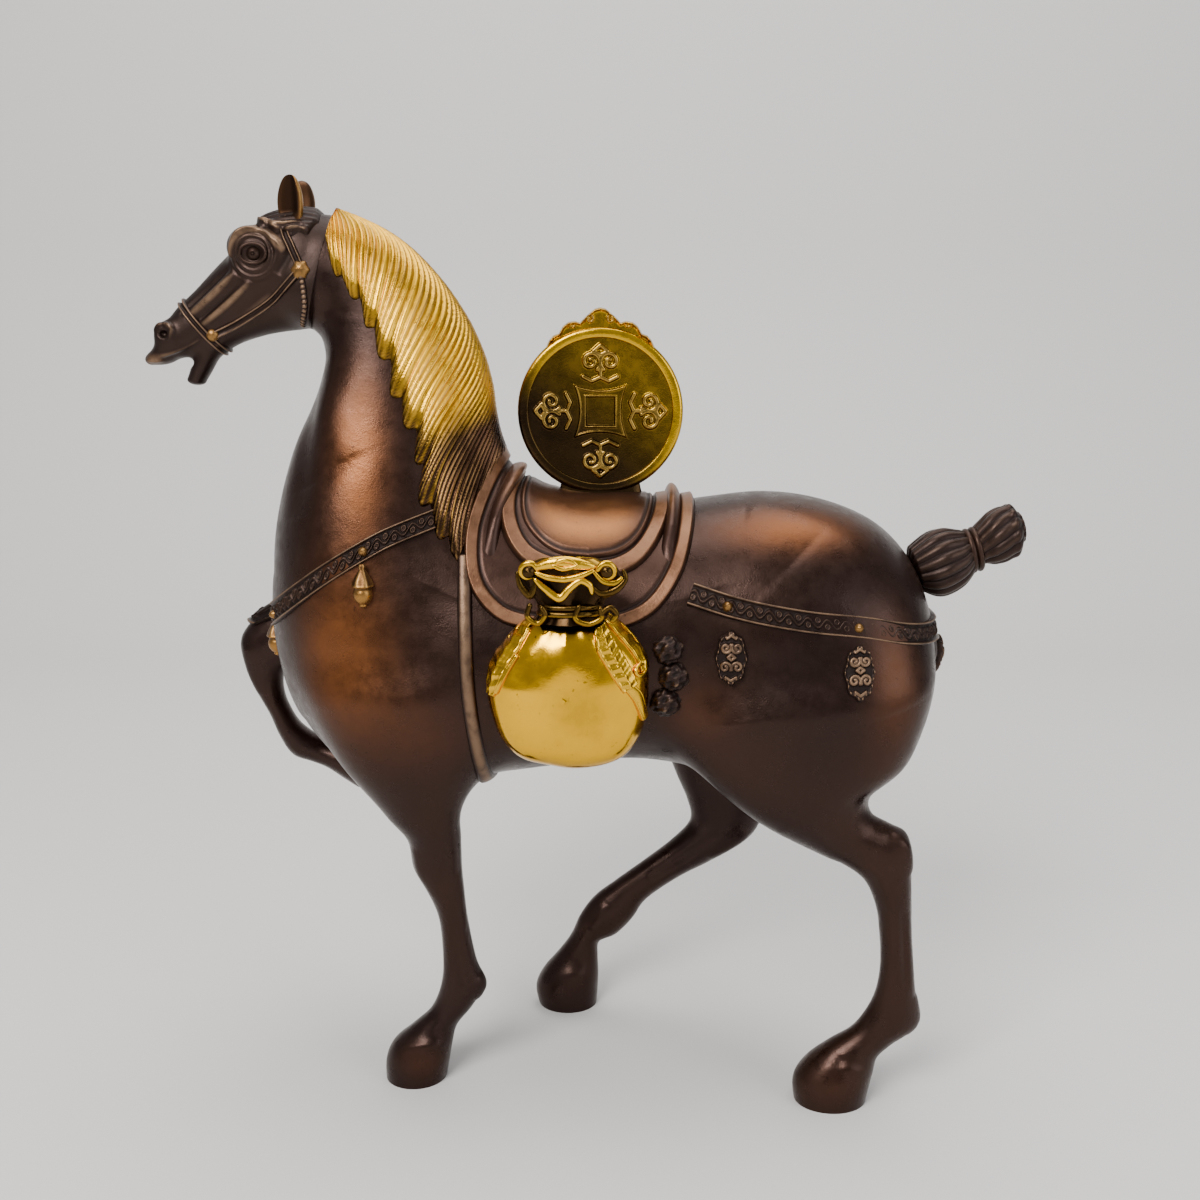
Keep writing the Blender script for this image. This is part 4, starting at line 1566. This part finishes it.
def money_bags():
    """Each bag is a flat-fronted swelling inside its side outline, with everything tied at its neck."""
    for side, sign in SIDES:
        na, nt = count(240) - 1, count(121)
        a = np.arange(na) * 2 * PI / na
        t = np.linspace(0.002, PI - 0.002, nt)[:, None]
        rho = np.sin(t) ** (2 / BAG_SQUARE)
        reach = bag_radius(a)[None]
        x, z = BAG_AT[0] + rho * reach * np.cos(a), BAG_AT[2] + rho * reach * np.sin(a)
        ct = np.cos(t)
        swell = np.where(ct > 0, BAG_FRONT, BAG_BACK) * np.sign(ct) * np.abs(ct) ** (2 / BAG_FLAT)
        y = BAG_AT[1] + swell + bag_lumps(x, z) * (1 - rho**6) * (ct > 0)
        rings = np.stack([x, sign * y, z], -1)
        pts, faces = closed_loft(rings)
        neck = np.hypot((pts[:, 0] + 5) / 1.5, pts[:, 2] - 150)
        glow = np.clip((neck - 7.0) / 3.5, 0, 1) * np.clip((np.abs(pts[:, 1]) - 34.0) / 4, 0, 1)
        glow = glow * (1 - 0.34 * np.exp(-(((pts[:, 0] + 2) / 9) ** 2 + ((pts[:, 2] - 121) / 8) ** 2)))
        relief = np.clip(0.3 + 0.5 * glow, 0, 0.6)
        made = mesh_object(f"bag_body_{side}", pts, faces, relief=relief, glow=glow)
        placed(made, GOLD, f"money_bag_{side}")
        bag_neck(side, sign)
        bag_cord(side, sign)
        leaves = [
            ribbon([(2.2, 144), (4.4, 138.4), (8.2, 132), (10.8, 127)], [1.2, 2.6, 2.7, 2.1], 1.5, sign,
                   ribs=8),
            ribbon([(9.0, 129), (12.0, 125.5), (13.4, 122), (14.6, 117.5)], [1.3, 1.5, 1.1, 0.7], 1.3, sign),
            ribbon([(4.6, 145), (9.4, 140.4), (13.4, 135), (14.4, 131)], [1.0, 1.5, 1.3, 1.0], 1.2, sign,
                   ribs=5),
            ribbon([(-15.5, 144), (-19.8, 138.4), (-24.0, 131.4), (-25.6, 124.5)], [1.0, 2.1, 2.1, 0.8], 1.5,
                   sign, ribs=7),
            ribbon([(-18.6, 136), (-22.2, 130.6), (-24.4, 125.4)], [0.5, 0.8, 0.5], 1.0, sign),
        ]
        ang = np.linspace(0, 2 * PI, 40)
        ring = np.stack([13.6 + 1.35 * np.cos(ang), 0 * ang, 131.6 + 1.35 * np.sin(ang)], 1)
        ring[:, 1] = sign * (bag_front(ring[:, 0], ring[:, 2]) + 0.8)
        loop = sweep(ring, 0.55, 10)
        parts = [(m[0], m[1]) for m in leaves] + [loop]
        values = np.concatenate([m[2] for m in leaves] + [np.full(len(loop[0]), 0.7)])
        pts, faces = merged(parts)
        glow = np.clip((np.hypot((pts[:, 0] + 5) / 1.5, pts[:, 2] - 150) - 6) / 4, 0.05, 1) * 0.9
        made = mesh_object(f"bag_ribbons_{side}", pts, faces, relief=values, glow=glow)
        placed(made, GILT, f"bag_leaves_{side}")
        knobs(side, sign)


def bag_neck(side, sign):
    """The tied neck and the flaring mouth: rings with waves, then rolls laid along the fold edges."""
    n, m = count(90), count(181) - 1
    u = np.linspace(0, 1, n)[:, None]
    a = np.arange(m) * 2 * PI / m
    z = 144.2 + 17.0 * u
    half = np.interp(u, [0, 0.18, 0.34, 0.52, 0.72, 0.9, 1], [9.0, 7.4, 8.4, 11.2, 12.6, 11.4, 7.0])
    deep = np.interp(u, [0, 0.18, 0.34, 0.52, 0.72, 0.9, 1], [5.2, 3.6, 3.8, 4.4, 4.6, 4.2, 1.6])
    wave = np.interp(u, [0, 0.18, 0.5, 0.8, 1], [0.03, 0.09, 0.11, 0.07, 0.02])
    f = 1 + wave * np.cos(7 * a + 0.6 + 1.4 * u) + 0.4 * wave * np.cos(15 * a + 2.0)
    x = NECK_X + half * f * np.cos(a)
    y = sign * (NECK_Y + deep * f * np.sin(a))
    rings = np.stack([x, y, z + 0 * a], -1)
    face = NECK_Y + 4.6
    waves = np.clip(0.1 + 0.25 * np.cos(7 * a + 0.6 + 1.4 * u), 0, 0.4)
    parts, values = [closed_loft(rings)], [np.concatenate([waves.ravel(), [0.1, 0.1]])]
    shine = [np.concatenate([(np.clip(3 * u - 2.3, 0, 0.8) + 0 * a).ravel(), [0, 0.5]])]

    def roll(path, radius, bright, depth):
        """A rod over the mouth's front: side-view path, radii along it, gilding, how far out it lies."""
        c = curve_through(path, 10)
        tt = np.linspace(0, 1, len(c))
        r = np.interp(tt, np.linspace(0, 1, len(radius)), radius)
        out = face + depth - 0.5 * ((c[:, 0] + 5) / 9) ** 2
        pts3 = np.stack([c[:, 0], sign * out, c[:, 1]], 1)
        made = sweep(pts3, r, 14, 0.8, (0, sign, 0))
        parts.append(made)
        values.append(np.full(len(made[0]), 0.62))
        shine.append(np.full(len(made[0]), bright))

    roll([(-13.4, 159.2), (-10, 160.3), (-6, 160.6), (-2.5, 160.2), (0.8, 159.6)], [1.0, 1.7, 1.9, 1.7, 1.0],
         1.0, -0.6)
    roll([(-9.0, 160.0), (-7.5, 161.2), (-5.8, 161.5), (-4.0, 160.9), (-3.0, 160.0)],
         [0.5, 0.7, 0.75, 0.7, 0.5], 1.0, 0.6)
    roll([(-9.0, 160.0), (-6.5, 159.2), (-3.0, 160.0)], [0.5, 0.6, 0.5], 1.0, 0.9)
    roll([(-13.4, 158.0), (-10.4, 156.9), (-6.2, 156.5), (-2.4, 157.3), (1.0, 158.6)],
         [0.5, 0.85, 0.95, 0.85, 0.5], 1.0, 0.3)
    roll([(-13.6, 156.2), (-11.2, 154.0), (-7.6, 151.6), (-5.0, 154.0), (-2.2, 156.0), (0.2, 154.9),
          (0.8, 152.8)],
         [0.6, 1.0, 1.25, 1.05, 0.9, 0.9, 0.4], 1.0, 0.2)
    roll([(-18.4, 157.6), (-17.6, 154.4), (-15.2, 151.9), (-13.9, 154.4), (-13.6, 156.4)],
         [0.6, 0.9, 1.1, 0.8, 0.5], 0.15, -1.0)
    roll([(0.4, 154.6), (3.3, 152.4), (7.0, 153.4), (9.4, 156.0), (9.0, 158.2)], [0.5, 1.0, 1.1, 0.8, 0.5],
         0.15, -1.0)
    roll([(1.0, 158.6), (3.6, 155.8), (6.4, 155.2), (8.4, 156.4)], [0.5, 0.8, 0.8, 0.5], 0.6, -0.4)
    for cx, cz, hand in ((-15.4, 158.2, 1), (4.6, 158.2, -1)):
        sp = spiral(cx, cz, 2.35, 1.5, 0.8, PI / 2 - hand * 1.3, hand)
        roll(sp[::4], [0.7, 0.95, 0.95, 0.8, 0.5], 0.8, -0.4)
        t = np.linspace(0.05, PI - 0.05, 20)
        ball = turned(np.stack([2.0 * np.sin(t), 2.0 * np.cos(t)], 1), (cx, sign * (face - 1.6), cz),
                      (0, sign, 0), 28)
        parts.append(ball)
        values.append(np.full(len(ball[0]), 0.35))
        shine.append(np.full(len(ball[0]), 0.1))
    pts, faces = merged(parts)
    name = f"bag_mouth_folds_{side}"
    values, shine = np.concatenate(values), np.concatenate(shine)
    placed(mesh_object(name, pts, faces, relief=values, glow=shine), GILT, f"bag_mouth_{side}")


def bag_cord(side, sign):
    """Two turns of cord about the neck, and three loops of its knot hanging in front."""
    parts = []
    ang = np.linspace(0, 2 * PI, 73)
    for dz, rad in ((147.0, 0.9), (148.7, 0.8)):
        ring = np.stack([NECK_X + 7.9 * np.cos(ang), sign * (NECK_Y + 4.3 * np.sin(ang)), dz + 0 * ang], 1)
        parts.append(sweep(np.vstack([ring, ring[1:2]]), rad, 10, facing=(0, 0, 1)))
    for path in ([(-15.2, 149.6), (-15.8, 146.8), (-13.2, 145.0), (-11.2, 147.2), (-12.0, 149.0)],
                 [(-2.6, 149.2), (-3.4, 146.2), (-0.2, 144.8), (3.2, 146.4), (3.0, 148.8)],
                 [(3.2, 147.6), (5.4, 149.2), (7.2, 147.6), (6.2, 145.8)]):
        c = curve_through(path, 10)
        parts.append(sweep(np.stack([c[:, 0], 0 * c[:, 0] + sign * 47.2, c[:, 1]], 1), 0.75, 12,
                           facing=(0, sign, 0)))
    pts, faces = merged(parts)
    relief, glow = np.full(len(pts), 0.62), 0.15 + 0.25 * (pts[:, 2] < 147)
    made = mesh_object(f"bag_cord_knot_{side}", pts, faces, relief=relief, glow=glow)
    placed(made, GILT, f"bag_cord_{side}")


def knobs(side, sign):
    """Rough balls of a tassel: each radius carries a few waves in both angles."""
    parts, values = [], []
    for i, (x, z) in enumerate(((21.0, 135.0), (22.6, 127.8), (20.6, 120.6))):
        c = side_points(horse, x, z, sign)
        down, round_ = np.linspace(0.03, PI - 0.03, count(60)), np.linspace(0, 2 * PI, count(91))[:-1]
        t, a = np.meshgrid(down, round_, indexing="ij")
        wob = np.sin(5 * a + 2 * i) * np.sin(4 * t) * 0.10 + np.cos(9 * a + 3 * t + i) * 0.05 * np.sin(t)
        wob = wob + 0.04 * np.sin(13 * t + 4 * a + i)
        r = 4.0 * (1 + wob * np.sin(t))
        rings = c + np.stack([r * np.sin(t) * np.cos(a), r * np.sin(t) * np.sin(a) * 0.9, r * np.cos(t)], -1)
        parts.append(closed_loft(rings))
        values.append(np.concatenate([np.clip(0.35 + 3.0 * wob, 0, 1).ravel(), [0.3, 0.3]]))
    pts, faces = merged(parts)
    v = np.concatenate(values)
    made = mesh_object(f"tassel_knobs_{side}", pts, faces, relief=v, glow=0 * v)
    placed(made, DARK, f"saddle_tassel_{side}")


money_bags()


# ---- floor, wall, lights and camera --------------------------------------------------------------
def plain(name, colour, rough):
    """A plain matt finish for the surroundings."""
    mat = bpy.data.materials.new(name)
    mat.use_nodes = True
    b = mat.node_tree.nodes["Principled BSDF"]
    b.inputs["Base Color"].default_value = (*colour, 1)
    b.inputs["Roughness"].default_value = rough
    return mat


def studio():
    """A pale floor that curves up into a wall, three soft lights and the camera."""
    a = np.linspace(0, PI / 2, 17)
    y = np.concatenate([[-1600], 500 + 300 * np.sin(a), [800]])
    z = np.concatenate([[0], 300 * (1 - np.cos(a)), [2400]])
    x = np.array([-2600.0, 2600.0])
    p = np.stack([np.repeat(x, len(y)), np.tile(y, 2), np.tile(z, 2)], 1)
    floor = mesh_object("floor", p, grid_faces(2, len(y)))
    floor.data.materials.append(plain("floor_grey", (0.66, 0.65, 0.64), 0.7))
    for name, place, size, power, tint in (
        ("key", (-0.5, -0.9, 0.95), 0.6, 20, (1, 0.97, 0.93)),
        ("fill", (0.95, -0.7, 0.5), 0.8, 6, (0.93, 0.96, 1)),
        ("top", (0.1, 0.1, 1.2), 0.9, 12, (1, 0.98, 0.96)),
    ):
        light = bpy.data.lights.new(name, "AREA")
        light.energy, light.size, light.color = power, size, tint
        lamp = bpy.data.objects.new(name, light)
        bpy.context.scene.collection.objects.link(lamp)
        lamp.location = place
        aim = np.array([0, 0, 0.13]) - np.array(place)
        lamp.rotation_euler = (
            math.atan2(math.hypot(aim[0], aim[1]), -aim[2]), 0, math.atan2(aim[1], aim[0]) - PI / 2)
    world = bpy.data.worlds.new("studio")
    world.use_nodes = True
    world.node_tree.nodes["Background"].inputs[0].default_value = (0.78, 0.8, 0.83, 1)
    world.node_tree.nodes["Background"].inputs[1].default_value = 0.46
    bpy.context.scene.world = world
    cam = bpy.data.cameras.new("camera")
    cam.lens, cam.sensor_width = 40.5, 36.0
    eye = bpy.data.objects.new("camera", cam)
    bpy.context.scene.collection.objects.link(eye)
    eye.location = (0.0029, -0.387, 0.219)
    eye.rotation_euler = (math.radians(78.7), 0, 0)
    bpy.context.scene.camera = eye


studio()
